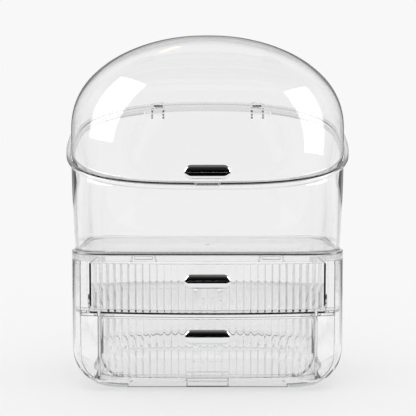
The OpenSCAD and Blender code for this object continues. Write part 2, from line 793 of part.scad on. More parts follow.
module lid() {
    steps = [for (j = [1 : dome_steps]) top_ring * j / dome_steps];
    top = part_gap + lid_flange_t;
    shell = concat(
        [for (j = [dome_steps - 1 : -1 : 0]) dome_ring(steps[j], lid_wall)],
        [dome_ring(0, lid_wall), rim_ring(-lid_wall, part_gap)],
        [rim_ring(flange_w, part_gap), rim_ring(flange_w, top), rim_ring(0, top)],
        [dome_ring(0, 0)],
        [for (a = steps) dome_ring(a, 0)]);
    color(clear) placed() {
        difference() {
            skin(shell, [0, 0, lid_top - lid_wall], [0, 0, lid_top]);
            peg_holes(-rim_b - sink, lid_handle_centre, lid_wall + 2 * sink);
        }
        catch();
        for (s = [-1, 1]) arm(s);
    }
}

foot_ring();
pad_front_left();
pad_front_right();
pad_back_left();
pad_back_right();
cabinet();
drawer_rack();
lower_drawer();
lower_drawer_handle();
upper_drawer();
upper_drawer_handle();
tub();
hinge_pin_left();
hinge_pin_right();
lid();
lid_handle();
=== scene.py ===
import math
import bpy
import bmesh
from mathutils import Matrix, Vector


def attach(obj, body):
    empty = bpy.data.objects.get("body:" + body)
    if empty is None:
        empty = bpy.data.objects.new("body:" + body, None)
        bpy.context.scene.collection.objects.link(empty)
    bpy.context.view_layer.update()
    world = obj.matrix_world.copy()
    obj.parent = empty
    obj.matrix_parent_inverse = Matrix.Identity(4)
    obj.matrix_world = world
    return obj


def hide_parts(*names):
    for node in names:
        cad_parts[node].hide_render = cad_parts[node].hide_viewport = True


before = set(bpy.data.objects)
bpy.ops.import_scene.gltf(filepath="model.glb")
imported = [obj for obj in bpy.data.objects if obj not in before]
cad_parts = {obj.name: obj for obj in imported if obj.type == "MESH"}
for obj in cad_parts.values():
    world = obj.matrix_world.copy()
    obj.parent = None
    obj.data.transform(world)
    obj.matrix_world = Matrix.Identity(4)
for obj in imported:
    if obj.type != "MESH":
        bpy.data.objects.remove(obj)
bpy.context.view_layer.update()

shiftY = 0.05   # mm from the cabinet's middle to the frame's origin


# an sRGB hex colour as linear red, green, blue and alpha
def toLinear(hexColour):
    channels = [int(hexColour[i:i + 2], 16) / 255 for i in (1, 3, 5)]
    return [c / 12.92 if c <= 0.04045 else ((c + 0.055) / 1.055) ** 2.4 for c in channels] + [1]


# one node: a key is a property of the node, or the name or number of an input
def addNode(tree, kind, settings=None, links=None):
    node = tree.nodes.new(kind)
    for key, value in (settings or {}).items():
        if isinstance(key, str) and hasattr(node, key):
            setattr(node, key, value)
        else:
            node.inputs[key].default_value = value
    for key, socket in (links or {}).items():
        tree.links.new(socket, node.inputs[key])
    return node


def startMaterial(name):
    material = bpy.data.materials.new(name)
    material.use_nodes = True
    material.node_tree.nodes.clear()
    return material, material.node_tree


# the piece's own coordinates in mm, so that a pattern's scale is 1 over its size
def mmCoords(tree, scale=(1, 1, 1)):
    place = addNode(tree, "ShaderNodeTexCoord")
    return addNode(tree, "ShaderNodeMapping", {"Scale": [s * 1000 for s in scale]},
                   {"Vector": place.outputs["Object"]}).outputs["Vector"]


# an uneven skin: a noise as coarse as sizeMm, and the bumps that it makes
def unevenSkin(tree, sizeMm, strength, deep, detail=2):
    noise = addNode(tree, "ShaderNodeTexNoise", {"Scale": 1 / sizeMm, "Detail": detail},
                    {"Vector": mmCoords(tree)}).outputs["Fac"]
    bump = addNode(tree, "ShaderNodeBump", {"Strength": strength, "Distance": deep}, {"Height": noise})
    return noise, bump.outputs["Normal"]


# Clear acrylic, injection moulded in a polished tool: water-clear, hard bright edges,
# with very slow flow ripples that bend what is seen through it a little, and painted shade that greys its
# colour where a face is seen edge-on
clearPlastic = {"tint": "#FEFEFE", "shade": "#F8F8F8", "ior": 1.49, "rippleMm": 34, "ripple": 0.02,
                "rippleDeep": 0.001, "hazeMm": 9, "hazeFrom": 0.45, "hazeFull": 0.8, "haze": 0.03,
                "grazingShadeTint": "#D8DCDC", "grazingShadeStart": 0.8, "mostBounces": 3, "mostWalls": 9,
                "edgePaintedShade": "#161616"}


def acrylic(name, colour):
    material, tree = startMaterial(name)
    normal = unevenSkin(tree, clearPlastic["rippleMm"], clearPlastic["ripple"],
                        clearPlastic["rippleDeep"], 1.5)[1]
    haze = addNode(tree, "ShaderNodeTexNoise", {"Scale": 1 / clearPlastic["hazeMm"], "Detail": 3},
                   {"Vector": mmCoords(tree)})
    rough = addNode(tree, "ShaderNodeMapRange",
                    {"From Min": clearPlastic["hazeFrom"], "From Max": clearPlastic["hazeFull"],
                     "To Min": 0.0, "To Max": clearPlastic["haze"]}, {"Value": haze.outputs["Fac"]})
    # painted shade: where a face is seen edge-on its colour goes grey, drawing the dark outlines that the
    # dark room bent into view would give
    facing = addNode(tree, "ShaderNodeLayerWeight", {"Blend": 0.5})
    grazingShadeShare = addNode(tree, "ShaderNodeMapRange",
                  {"From Min": clearPlastic["grazingShadeStart"], "From Max": 1.0, "To Min": 0, "To Max": 1},
                  {"Value": facing.outputs["Facing"]})
    tint = addNode(tree, "ShaderNodeMix", {"data_type": "RGBA", 6: toLinear(colour),
                                           7: toLinear(clearPlastic["grazingShadeTint"])},
                   {0: grazingShadeShare.outputs["Result"]})
    body = addNode(tree, "ShaderNodeBsdfPrincipled",
                   {"IOR": clearPlastic["ior"], "Transmission Weight": 1.0},
                   {"Roughness": rough.outputs["Result"], "Normal": normal,
                    "Base Color": tint.outputs[2]})
    through = addNode(tree, "ShaderNodeBsdfTransparent", {"Color": toLinear(clearPlastic["shade"])})
    # shadows pass straight through, and so does light that the renderer would soon give up as black
    path = addNode(tree, "ShaderNodeLightPath")
    straight = path.outputs["Is Shadow Ray"]
    for depth, most in (("Glossy Depth", "mostBounces"), ("Ray Depth", "mostWalls")):
        late = addNode(tree, "ShaderNodeMath", {"operation": "GREATER_THAN", 1: clearPlastic[most] + 0.5},
                       {0: path.outputs[depth]})
        straight = addNode(tree, "ShaderNodeMath", {"operation": "MAXIMUM"},
                           {0: straight, 1: late.outputs[0]}).outputs[0]
    mix = addNode(tree, "ShaderNodeMixShader", None,
                  {0: straight, 1: body.outputs["BSDF"], 2: through.outputs["BSDF"]})
    addNode(tree, "ShaderNodeOutputMaterial", None, {"Surface": mix.outputs["Shader"]})
    return material


# Chrome plate on moulded ABS: mirror bright, with the faint orange peel of the moulding under it
chromePlate = {"colour": "#F1F2F3", "roughness": 0.035, "worn": 0.03, "peelMm": 2.2, "peel": 0.03,
               "peelDeep": 0.0003}


def chrome():
    material, tree = startMaterial("chromePlatedAbs")
    peel, normal = unevenSkin(tree, chromePlate["peelMm"], chromePlate["peel"], chromePlate["peelDeep"])
    worn = addNode(tree, "ShaderNodeMapRange",
                   {"From Min": 0.4, "From Max": 0.75, "To Min": chromePlate["roughness"],
                    "To Max": chromePlate["roughness"] + chromePlate["worn"]}, {"Value": peel})
    body = addNode(tree, "ShaderNodeBsdfPrincipled",
                   {"Metallic": 1.0, "Base Color": toLinear(chromePlate["colour"])},
                   {"Roughness": worn.outputs["Result"], "Normal": normal})
    addNode(tree, "ShaderNodeOutputMaterial", None, {"Surface": body.outputs["BSDF"]})
    return material


# Silicone pads, compression moulded: milky and soft, with a fine matt skin
siliconePad = {"colour": "#EDEFEF", "shade": "#DDDFDF", "ior": 1.41, "clear": 0.6, "roughness": 0.42,
               "uneven": 0.15, "grainMm": 0.8, "grain": 0.2, "grainDeep": 0.0002}


def silicone():
    material, tree = startMaterial("milkySiliconeMoulded")
    grain, normal = unevenSkin(tree, siliconePad["grainMm"], siliconePad["grain"], siliconePad["grainDeep"])
    rough = addNode(tree, "ShaderNodeMapRange",
                    {"To Min": siliconePad["roughness"],
                     "To Max": siliconePad["roughness"] + siliconePad["uneven"]}, {"Value": grain})
    body = addNode(tree, "ShaderNodeBsdfPrincipled",
                   {"Base Color": toLinear(siliconePad["colour"]), "IOR": siliconePad["ior"],
                    "Transmission Weight": siliconePad["clear"]},
                   {"Roughness": rough.outputs["Result"], "Normal": normal})
    through = addNode(tree, "ShaderNodeBsdfTransparent", {"Color": toLinear(siliconePad["shade"])})
    path = addNode(tree, "ShaderNodeLightPath")
    mix = addNode(tree, "ShaderNodeMixShader", None,
                  {0: path.outputs["Is Shadow Ray"], 1: body.outputs["BSDF"], 2: through.outputs["BSDF"]})
    addNode(tree, "ShaderNodeOutputMaterial", None, {"Surface": mix.outputs["Shader"]})
    return material


# Drawn steel wire for the hinge pins: dull grey with fine lines along the wire
drawnSteel = {"colour": "#8B8D90", "dark": "#5E6063", "roughness": 0.28, "lineMm": 0.25, "drawnOut": 0.05}


def steel():
    material, tree = startMaterial("drawnSteelWire")
    lines = addNode(tree, "ShaderNodeTexNoise", {"Scale": 1 / drawnSteel["lineMm"], "Detail": 2},
                    {"Vector": mmCoords(tree, (drawnSteel["drawnOut"], 1, 1))})
    colour = addNode(tree, "ShaderNodeMix", {"data_type": "RGBA", 6: toLinear(drawnSteel["dark"]),
                                             7: toLinear(drawnSteel["colour"])},
                     {0: lines.outputs["Fac"]})
    body = addNode(tree, "ShaderNodeBsdfPrincipled", {"Metallic": 1.0, "Roughness": drawnSteel["roughness"]},
                   {"Base Color": colour.outputs[2]})
    addNode(tree, "ShaderNodeOutputMaterial", None, {"Surface": body.outputs["BSDF"]})
    return material


plasticMaterial = acrylic("clearAcrylicMoulded", clearPlastic["tint"])
# the same acrylic for the mouldings' small broken edges, with painted shade: a near-black tint makes them
# read as fine dark lines, as the dark room bent through them would
edgeShadeMaterial = acrylic("clearAcrylicEdgePaintedShade", clearPlastic["edgePaintedShade"])
chromeMaterial = chrome()
siliconeMaterial = silicone()
steelMaterial = steel()
print("materials made")


# points are in mm from the cabinet's middle
def addMesh(name, points, faces, sharpDegrees=32):
    mesh = bpy.data.meshes.new(name)
    mesh.from_pydata([(x / 1000, (y + shiftY) / 1000, z / 1000) for x, y, z in points], [], faces)
    build = bmesh.new()
    build.from_mesh(mesh)
    bmesh.ops.remove_doubles(build, verts=build.verts, dist=2e-6)
    bmesh.ops.recalc_face_normals(build, faces=build.faces)
    build.to_mesh(mesh)
    build.free()
    piece = bpy.data.objects.new(name, mesh)
    bpy.context.scene.collection.objects.link(piece)
    softenShading(piece, sharpDegrees)
    return piece


def softenShading(piece, sharpDegrees=32):
    for face in piece.data.polygons:
        face.use_smooth = True
    piece.data.set_sharp_from_angle(angle=math.radians(sharpDegrees))


# a ring drawn towards its middle, which keeps the last full ring's edge crisp
def inward(ring, share=0.97):
    middle = [sum(p[axis] for p in ring) / len(ring) for axis in range(3)]
    return [tuple(m + share * (v - m) for v, m in zip(p, middle)) for p in ring]


# a skin over rings of equal counts; each end is flat, or closes in one point
def loft(name, rings, start="flat", end="flat", sharpDegrees=32):
    count = len(rings[0])
    if start == "flat":
        rings = [inward(rings[0])] + rings
    if end == "flat":
        rings = rings + [inward(rings[-1])]
    points = [p for ring in rings for p in ring]
    faces = []
    for j in range(len(rings) - 1):
        for i in range(count):
            h = (i + 1) % count
            faces.append((j * count + i, j * count + h, (j + 1) * count + h, (j + 1) * count + i))
    for ring, kind, low in ((rings[0], start, 0), (rings[-1], end, (len(rings) - 1) * count)):
        if kind == "flat":
            faces.append(tuple(range(low, low + count)))
        else:
            points.append(kind)
            faces += [(low + i, low + (i + 1) % count, len(points) - 1) for i in range(count)]
    return addMesh(name, points, faces, sharpDegrees)


# a flat profile pulled straight along x, or along y
def prism(name, profile, start, stop, alongX=True):
    count = len(profile)
    points = [(end, a, b) if alongX else (a, end, b) for end in (start, stop) for a, b in profile]
    faces = [tuple(range(count)), tuple(range(count, 2 * count))]
    faces += [(i, (i + 1) % count, count + (i + 1) % count, count + i) for i in range(count)]
    return addMesh(name, points, faces)


def circle(a, b, r, count=40):
    return [(a + r * math.cos(2 * math.pi * i / count), b + r * math.sin(2 * math.pi * i / count))
            for i in range(count)]


def rodY(name, x, z, r, y0, y1):
    return loft(name, [[(a, y, b) for a, b in circle(x, z, r, 32)] for y in (y0, y1)])


def blockAt(name, low, high):
    (x0, y0, z0), (x1, y1, z1) = low, high
    return prism(name, [(y0, z0), (y1, z0), (y1, z1), (y0, z1)], x0, x1)


def combine(piece, others, operation="UNION", sharpDegrees=32):
    for other in others:
        cut = piece.modifiers.new("join", "BOOLEAN")
        cut.operation = operation
        cut.solver = "MANIFOLD"
        cut.object = other
        bpy.context.view_layer.objects.active = piece
        bpy.ops.object.modifier_apply(modifier=cut.name)
        bpy.data.objects.remove(other)
    build = bmesh.new()
    build.from_mesh(piece.data)
    bmesh.ops.remove_doubles(build, verts=build.verts, dist=1e-6)
    build.to_mesh(piece.data)
    build.free()
    softenShading(piece, sharpDegrees)
    return piece


# sharp edges are broken by a width in mm, everywhere or where a test of a point says so;
# the new faces take the second material, which on acrylic is the near-black edge tint of painted shade
def breakEdges(piece, width, where=None):
    build = bmesh.new()
    build.from_mesh(piece.data)
    bmesh.ops.remove_doubles(build, verts=build.verts, dist=2e-6)
    flat = [v for v in build.verts if where is None or where(v.co)]
    within = [e for e in build.edges if where is None or all(where(v.co) for v in e.verts)]
    bmesh.ops.dissolve_limit(build, angle_limit=math.radians(0.2), verts=flat, edges=within)
    bmesh.ops.dissolve_degenerate(build, edges=build.edges, dist=2e-5)
    sharp = [e for e in build.edges if len(e.link_faces) == 2 and e.calc_face_angle(0) > math.radians(35)
             and (where is None or all(where(v.co) for v in e.verts))]
    bmesh.ops.bevel(build, geom=sharp, offset=width / 1000, segments=2, profile=0.5, affect="EDGES",
                    clamp_overlap=False, material=1)
    # faces with many corners are cut up, because they could fold over themselves
    bmesh.ops.triangulate(build, faces=[f for f in build.faces if len(f.verts) > 8])
    bmesh.ops.recalc_face_normals(build, faces=build.faces)
    # the bevel leaves points and faces in another order each time, so they are put in a fixed one
    for parts, place in ((build.verts, lambda v: v.co[:]),
                         (build.faces, lambda f: f.calc_center_median()[:])):
        for i, part in enumerate(sorted(parts, key=place)):
            part.index = i
        parts.sort()
    build.to_mesh(piece.data)
    build.free()
    softenShading(piece)
    weigh = piece.modifiers.new("flatFaces", "WEIGHTED_NORMAL")
    weigh.mode, weigh.weight, weigh.keep_sharp = "FACE_AREA", 100, True
    if where:
        group = piece.vertex_groups.new(name="flatParts")
        group.add([v.index for v in piece.data.vertices if where(v.co)], 1.0, "REPLACE")
        weigh.vertex_group = "flatParts"
    return piece


def fromNode(node, name, width):
    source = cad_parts[node]
    mesh = source.data.copy()
    mesh.name = name
    mesh.transform(source.matrix_world)
    piece = bpy.data.objects.new(name, mesh)
    bpy.context.scene.collection.objects.link(piece)
    return breakEdges(piece, width)


# the materials, the body it rides on, the node it replaces and its slot
def dress(piece, body, node, material):
    kept = [face.material_index for face in piece.data.polygons]
    piece.data.materials.clear()
    piece.data.materials.append(material)
    # the broken edges of acrylic pieces take the edge material: painted shade in a near-black tint
    if material == plasticMaterial and max(kept) > 0:
        piece.data.materials.append(edgeShadeMaterial)
        piece.data.polygons.foreach_set("material_index", kept)
    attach(piece, body)
    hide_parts(node)
    return piece


# the angles of a quarter turn
def quarter(steps):
    return [math.pi / 2 * i / steps for i in range(steps + 1)]


# plan shapes shared by the tub and the lid; sizes are in mm and degrees
cabinet = {"width": 282, "depth": 176, "cornerR": 36, "top": 132.8}
tub = {"floorTop": 141.8, "floorT": 2.4, "skirtFoot": 133.0, "skirtWall": 1.8, "ledge": 2.3, "wall": 2.4,
       "footSquare": 6, "frontSquare": 2.9, "backSquare": 2.4, "rimSide": 5.2, "rimDepth": 2.2,
       "rimFront": 209.8, "slope": 25, "flangeOut": 5, "flangeT": 3.2, "flangeRoot": 3.4,
       "edgeRound": 0.9, "lipRound": 0.5, "floorFillet": 2.2, "footRound": 0.8, "skirtRound": 0.3,
       "skirtFillet": 1.2, "wallBands": 26, "around": 320, "nibW": 9, "nibT": 0.7, "nibTop": 134.6,
       "nibSunk": 0.1}
gate = {"r": 2.2, "proud": 0.4, "edge": 0.15, "sunk": 1}   # the small disc that a mould's gate leaves
pegs = {"x": 11.9, "r": 1.6, "holeR": 1.7}                 # the pulls' pegs, two through each wall
rimA = cabinet["width"] / 2 + tub["rimSide"]
rimB = cabinet["depth"] / 2 + tub["rimDepth"]
edgeB = rimB + tub["flangeOut"]
rise = math.tan(math.radians(tub["slope"]))
footZ = tub["floorTop"] - 1


def rimAt(y):
    return tub["rimFront"] + rise * (y + edgeB)


# the plan's directions, closer together where the rim bends more
directions = [math.atan2(rimB * math.sin(u), rimA * math.cos(u))
              for u in (2 * math.pi * i / tub["around"] for i in range(tub["around"]))]


# the wall's plan in direction t, from the foot (k = 0) to the rim (k = 1)
def outlinePoint(t, k, out):
    a = (cabinet["width"] / 2 - tub["ledge"]) * (1 - k) + rimA * k + out
    b = (cabinet["depth"] / 2 - tub["ledge"]) * (1 - k) + rimB * k + out
    n = tub["footSquare"] * (1 - k) + (tub["frontSquare"] if math.sin(t) < 0 else tub["backSquare"]) * k
    r = (abs(math.cos(t) / a) ** n + abs(math.sin(t) / b) ** n) ** (-1 / n)
    return r * math.cos(t), r * math.sin(t)


# the cabinet's rounded rectangle, met by the same directions
def planRing(inset, z):
    a, b, r = cabinet["width"] / 2 - inset, cabinet["depth"] / 2 - inset, cabinet["cornerR"] - inset
    ring = []
    for t in directions:
        c, s = abs(math.cos(t)), abs(math.sin(t))
        if a * s <= (b - r) * c:
            k = a / c
        elif b * c <= (a - r) * s:
            k = b / s
        else:
            along = c * (a - r) + s * (b - r)
            k = along + math.sqrt(along ** 2 - (a - r) ** 2 - (b - r) ** 2 + r ** 2)
        ring.append((k * math.cos(t), k * math.sin(t), z))
    return ring


# a ring round the wall at heightOf(top), where top is the rim's height less the drop
def wallRing(heightOf, out, drop):
    ring = []
    for t in directions:
        top = rimAt(outlinePoint(t, 1, out)[1]) - drop
        z = heightOf(top)
        x, y = outlinePoint(t, (z - footZ) / (top - footZ), out)
        ring.append((x, y, z))
    return ring


def rimRing(out, up):
    ring = []
    for t in directions:
        x, y = outlinePoint(t, 1, out)
        ring.append((x, y, rimAt(y) + up))
    return ring


# tub: walls, flange, floor and skirt in one moulding
def tubShell():
    wall, base, fillet, foot = tub["wall"], tub["floorTop"], tub["floorFillet"], tub["footRound"]
    edge, lip, out, thick = tub["edgeRound"], tub["lipRound"], tub["flangeOut"], tub["flangeT"]
    root = thick + tub["flangeRoot"]
    rings = []
    for a in quarter(6):
        z = base + fillet * (1 - math.cos(a))
        rings.append(wallRing(lambda top: z, -wall - fillet * (1 - math.sin(a)), 0))
    bands = tub["wallBands"]
    for j in range(1, bands + 1):
        rings.append(wallRing(lambda top: base + fillet + (top - lip - base - fillet) * j / bands, -wall, 0))
    rings += [rimRing(-wall + lip * (1 - math.cos(a)), -lip + lip * math.sin(a)) for a in quarter(4)]
    rings += [rimRing(out - edge + edge * math.sin(a), -edge + edge * math.cos(a)) for a in quarter(5)]
    rings += [rimRing(out - edge + edge * math.cos(a), -thick + edge - edge * math.sin(a))
              for a in quarter(5)]
    rings += [rimRing((out - edge) * (1 - s), -thick - tub["flangeRoot"] * s) for s in (0.35, 0.7, 0.92, 1)]
    for j in range(bands - 1, 0, -1):
        rings.append(wallRing(lambda top: base + foot + (top - base - foot) * j / bands, 0, root))
    for a in quarter(4):
        z = base + foot * (1 - math.sin(a))
        rings.append(wallRing(lambda top: z, foot * (1 - math.cos(a)), root))
    rings += [planRing(foot * (1 - math.sin(a)), base - foot * (1 - math.cos(a))) for a in quarter(5)]
    low, skirt, under = tub["skirtFoot"], tub["skirtWall"], base - tub["floorT"]
    soft, inner = tub["skirtRound"], tub["skirtFillet"]
    rings += [planRing(0, low + soft), planRing(soft, low), planRing(skirt - soft, low),
              planRing(skirt, low + soft)]
    rings += [planRing(skirt + inner * (1 - math.cos(a)), under - inner + inner * math.sin(a))
              for a in quarter(4)]
    return loft("tubMoulded", rings)


def gateMark(y, floor):
    r, edge, top = gate["r"], gate["edge"], floor + gate["proud"]
    steps = ((r, floor - gate["sunk"]), (r, top - edge), (r - edge, top))
    return loft("gate", [[(a, b, z) for a, b in circle(0, y, s, 32)] for s, z in steps])


hinge = {"x": 58.8, "pinR": 2, "pinBack": 3.3, "pinDrop": 8.5, "armWidth": 10.4, "earT": 2.2, "gap": 0.3,
         "earRim": 0.2, "knuckle": 4, "earRoot": (10, 2.6), "toe": 3, "webGap": 7.7, "ribT": 1.8,
         "ribOut": 8, "ribH": 6, "ribDrop": 7, "webOut": 4, "webT": 2, "earPlay": 0.03, "armPlay": 0.05,
         "earReach": 15, "armReach": 10}
pinY = edgeB + hinge["pinBack"]
pinZ = rimAt(edgeB) - hinge["pinDrop"]
earX = hinge["armWidth"] / 2 + hinge["gap"]
bracketX = earX + hinge["earT"] + hinge["webGap"]


# how far back the rim lies at x
def backOfRim(x, out):
    n = tub["backSquare"]
    return (rimB + out) * (1 - (abs(x) / (rimA + out)) ** n) ** (1 / n)


def pegHoles(z, y0, y1):
    return [rodY("pegHole", x, z, pegs["holeR"], y0, y1) for x in (-pegs["x"], pegs["x"])]


# two ears with round ends, a rib beside them and a web between, on side s
def hingeBracket(s):
    parts = []
    for e in (-1, 1):
        x = s * hinge["x"] + e * (earX + hinge["earT"] / 2)
        root = backOfRim(x, 0) - tub["wall"] / 2
        r = hinge["knuckle"] + hinge["earRim"]
        side = [(root, pinZ - hinge["earRoot"][0]), (root, pinZ + hinge["earRoot"][1]), (pinY, pinZ + r),
                (pinY + hinge["toe"], pinZ - hinge["toe"])]
        ear = prism("ear", side, x - hinge["earT"] / 2, x + hinge["earT"] / 2)
        tip = prism("earRing", circle(pinY, pinZ, r), x - hinge["earT"] / 2, x + hinge["earT"] / 2)
        parts.append(combine(ear, [tip]))
    root = backOfRim(hinge["x"] + bracketX, 0) - tub["wall"] / 2
    ribX = s * (hinge["x"] + bracketX)
    low = pinZ - hinge["ribDrop"]
    parts.append(blockAt("rib", (ribX - hinge["ribT"] / 2, root, low),
                         (ribX + hinge["ribT"] / 2, root + hinge["ribOut"], low + hinge["ribH"])))
    middle = s * (hinge["x"] + (bracketX + earX) / 2)
    reach = (bracketX - earX) / 2
    parts.append(blockAt("web", (middle - reach, root + hinge["webOut"], low),
                         (middle + reach, root + hinge["webOut"] + hinge["webT"], low + hinge["ribH"])))
    return parts


# the holes for both pins, going reach mm to each side of a hinge's middle
def pinBores(play, reach):
    return [prism("bore", circle(pinY, pinZ, hinge["pinR"] + play), s * hinge["x"] - reach,
                  s * hinge["x"] + reach) for s in (-1, 1)]


clip = {"x": 64.4, "windowW": 17.4, "windowH": 2.8, "windowZ": 135.4, "beadGap": 0.4, "beadT": 1.5,
        "beadProud": 1.2}


def makeTub():
    piece = tubShell()
    joined = []
    for s in (-1, 1):
        joined += hingeBracket(s)
    gap, halfDepth, half, low = clip["beadGap"], cabinet["depth"] / 2, clip["windowW"] / 2, clip["windowZ"]
    for x in (-clip["x"], clip["x"]):
        for side in (-1, 1):
            near = side * (halfDepth - tub["skirtWall"] - clip["beadProud"])
            far = near + side * clip["beadT"]
            joined.append(blockAt("bead", (x - half + gap, min(near, far), low + gap),
                                  (x + half - gap, max(near, far), low + clip["windowH"] - gap)))
    front = -halfDepth + tub["skirtWall"] + tub["nibSunk"]
    joined.append(blockAt("nib", (-tub["nibW"] / 2, front - tub["nibT"], tub["skirtFoot"]),
                          (tub["nibW"] / 2, front, tub["nibTop"])))
    joined.append(gateMark(0, tub["floorTop"]))
    combine(piece, joined)
    combine(piece, pinBores(hinge["earPlay"], hinge["earReach"]), "DIFFERENCE")
    return dress(piece, "stand", "tub", plasticMaterial)


tubPiece = makeTub()
print("tub made", len(tubPiece.data.polygons))


# lid: dome, flange, two arms and the catch
lid = {"top": 368.0, "springFront": 241.8, "springRise": 70.05, "wall": 2.4, "roundness": 2.06,
       "domeRings": 44, "flangeT": 2.6, "gap": 0.3, "edgeRound": 0.9, "lipRound": 0.5, "rootFillet": 1.3,
       "pullZ": 223.8, "catchW": 23.7, "catchOut": 2, "catchT": 1.6, "catchDrop": 3, "armRoot": 3,
       "armBevel": 2, "legGap": 0.3}


# the height where the dome springs from the wall, which rises to the back
def springAt(y):
    return lid["springFront"] + lid["springRise"] * (y + rimB) / (2 * rimB)


def domeRing(a, inset):
    s = math.cos(a)
    lift = (1 - s ** lid["roundness"]) ** (1 / lid["roundness"])
    ring = []
    for t in directions:
        x, y = outlinePoint(t, 1, -inset)
        foot = springAt(y)
        ring.append((x * s, y * s, foot + (lid["top"] - inset - foot) * lift))
    return ring


def lidWallRing(inset, up, share):
    ring = []
    for t in directions:
        x, y = outlinePoint(t, 1, -inset)
        low = rimAt(y) + up
        ring.append((x, y, low + (springAt(y) - low) * share))
    return ring


def lidShell():
    wall, gap, out, edge, lip = lid["wall"], lid["gap"], tub["flangeOut"], lid["edgeRound"], lid["lipRound"]
    top, fillet = gap + lid["flangeT"], lid["rootFillet"]
    angles = [math.pi / 2 * (j / lid["domeRings"]) for j in range(lid["domeRings"])]
    rings = [domeRing(a, wall) for a in reversed(angles)]
    rings += [lidWallRing(wall, gap + lip, share) for share in (0.75, 0.5, 0.25)]
    rings += [rimRing(-wall + lip * (1 - math.cos(a)), gap + lip - lip * math.sin(a)) for a in quarter(4)]
    rings += [rimRing(out - edge + edge * math.sin(a), gap + edge - edge * math.cos(a)) for a in quarter(5)]
    rings += [rimRing(out - edge + edge * math.cos(a), top - edge + edge * math.sin(a)) for a in quarter(5)]
    rings += [rimRing(fillet * (1 - math.sin(a)), top + fillet * (1 - math.cos(a))) for a in quarter(5)]
    rings += [lidWallRing(0, top + fillet, share) for share in (0.25, 0.5, 0.75)]
    rings += [domeRing(a, 0) for a in angles]
    return loft("lidMoulded", rings, (0, 0, lid["top"] - wall), (0, 0, lid["top"]))


# a level arm from the flange to the pin, with a leg down to the knuckle
def hingeArm(s):
    edge = backOfRim(hinge["x"] - hinge["armWidth"] / 2, tub["flangeOut"])
    start = backOfRim(hinge["x"] + hinge["armWidth"] / 2, tub["flangeOut"]) - lid["armRoot"]
    leg = pinY - hinge["pinR"] - lid["legGap"]
    tail = pinY + hinge["knuckle"]
    under, top = lid["gap"], lid["gap"] + lid["flangeT"]
    level = rimAt(edge)
    profile = [(start, rimAt(start) + under), (edge, level + under), (leg, level + under), (leg, pinZ),
               (tail, pinZ), (tail, level + under), (tail - lid["armBevel"], level + top),
               (edge, level + top), (start, rimAt(start) + top)]
    x0, x1 = s * hinge["x"] - hinge["armWidth"] / 2, s * hinge["x"] + hinge["armWidth"] / 2
    arm = prism("arm", profile, x0, x1)
    return combine(arm, [prism("knuckle", circle(pinY, pinZ, hinge["knuckle"]), x0, x1)])


# the lip that hooks over the tub's flange at the front
def lidCatch():
    nose, root = -edgeB - lid["catchOut"], -edgeB + 1
    z = rimAt(-edgeB) + lid["gap"]
    profile = [(nose, z - lid["catchDrop"]), (nose + lid["catchT"], z - lid["catchDrop"]),
               (nose + lid["catchT"], z), (root, rimAt(root) + lid["gap"]),
               (root, rimAt(root) + lid["gap"] + lid["flangeT"]), (nose, z + lid["flangeT"])]
    return prism("catch", profile, -lid["catchW"] / 2, lid["catchW"] / 2)


def makeLid():
    piece = lidShell()
    combine(piece, [hingeArm(-1), hingeArm(1), lidCatch()])
    cuts = pegHoles(lid["pullZ"], -rimB - 2, -rimB + 6)
    combine(piece, cuts + pinBores(hinge["armPlay"], hinge["armReach"]), "DIFFERENCE")
    return dress(piece, "lid", "lid", plasticMaterial)


lidPiece = makeLid()
print("lid made", len(lidPiece.data.polygons))


# drawers: bowed fronts with flutes, the lower one with round bottom corners
drawerFront = {"y": -91.6, "bow": 10, "span": 120, "wall": 2.4, "fluteH": 1.1, "flutes": 18,
               "run": 123.6, "ease": 0.045, "perFlute": 7}
upperDrawer = {"name": "upperDrawer", "half": 120, "z": 81.7, "height": 49.4, "lowR": 0, "pullZ": 114.8}
lowerDrawer = {"name": "lowerDrawer", "half": 108.3, "z": 15.2, "height": 60, "lowR": 22, "pullZ": 58.9}
tray = {"back": 36.4, "wall": 2, "cornerR": 7, "edge": 0.5, "fillet": 1.4, "bulge": 0.6,
        "lowSteps": 26, "sideSteps": 12, "backSteps": 10,
        "broken": 0.5, "outlineFrom": -74.5, "outlineNear": 0.15, "outlineLow": 0.1}
bowR = (drawerFront["span"] ** 2 + drawerFront["bow"] ** 2) / (2 * drawerFront["bow"])
bowY = drawerFront["y"] + bowR


# where flute k ends, counted from the middle; flutes get narrower towards the sides
def fluteEdge(k):
    u = k / drawerFront["flutes"]
    return drawerFront["run"] * (u + drawerFront["ease"] * u * (1 - abs(u) ** 5))


def flutedLine():
    line = []
    for k in range(-drawerFront["flutes"], drawerFront["flutes"]):
        t0, t1 = math.asin(fluteEdge(k) / bowR), math.asin(fluteEdge(k + 1) / bowR)
        chord = 2 * bowR * math.sin((t1 - t0) / 2)
        r = (chord ** 2 / 4 + drawerFront["fluteH"] ** 2) / (2 * drawerFront["fluteH"])
        mid = bowR * math.cos((t1 - t0) / 2) + drawerFront["fluteH"] - r
        turn = (t0 + t1) / 2
        reach = math.asin(chord / 2 / r)
        for i in range(drawerFront["perFlute"]):
            f = reach * (-1 + 2 * i / drawerFront["perFlute"])
            x, y = r * math.sin(f), -mid - r * math.cos(f)
            line.append((x * math.cos(turn) - y * math.sin(turn),
                         bowY + x * math.sin(turn) + y * math.cos(turn)))
    return line


fluted = flutedLine()


# the front's face at x: fluted outside, a plain arc inside
def frontY(x, inside):
    if inside:
        return drawerFront["y"] + drawerFront["wall"] + bowR - math.sqrt(bowR ** 2 - x ** 2)
    for (x0, y0), (x1, y1) in zip(fluted, fluted[1:]):
        if x0 <= x <= x1:
            return y0 + (y1 - y0) * (x - x0) / (x1 - x0)
    return fluted[0][1]


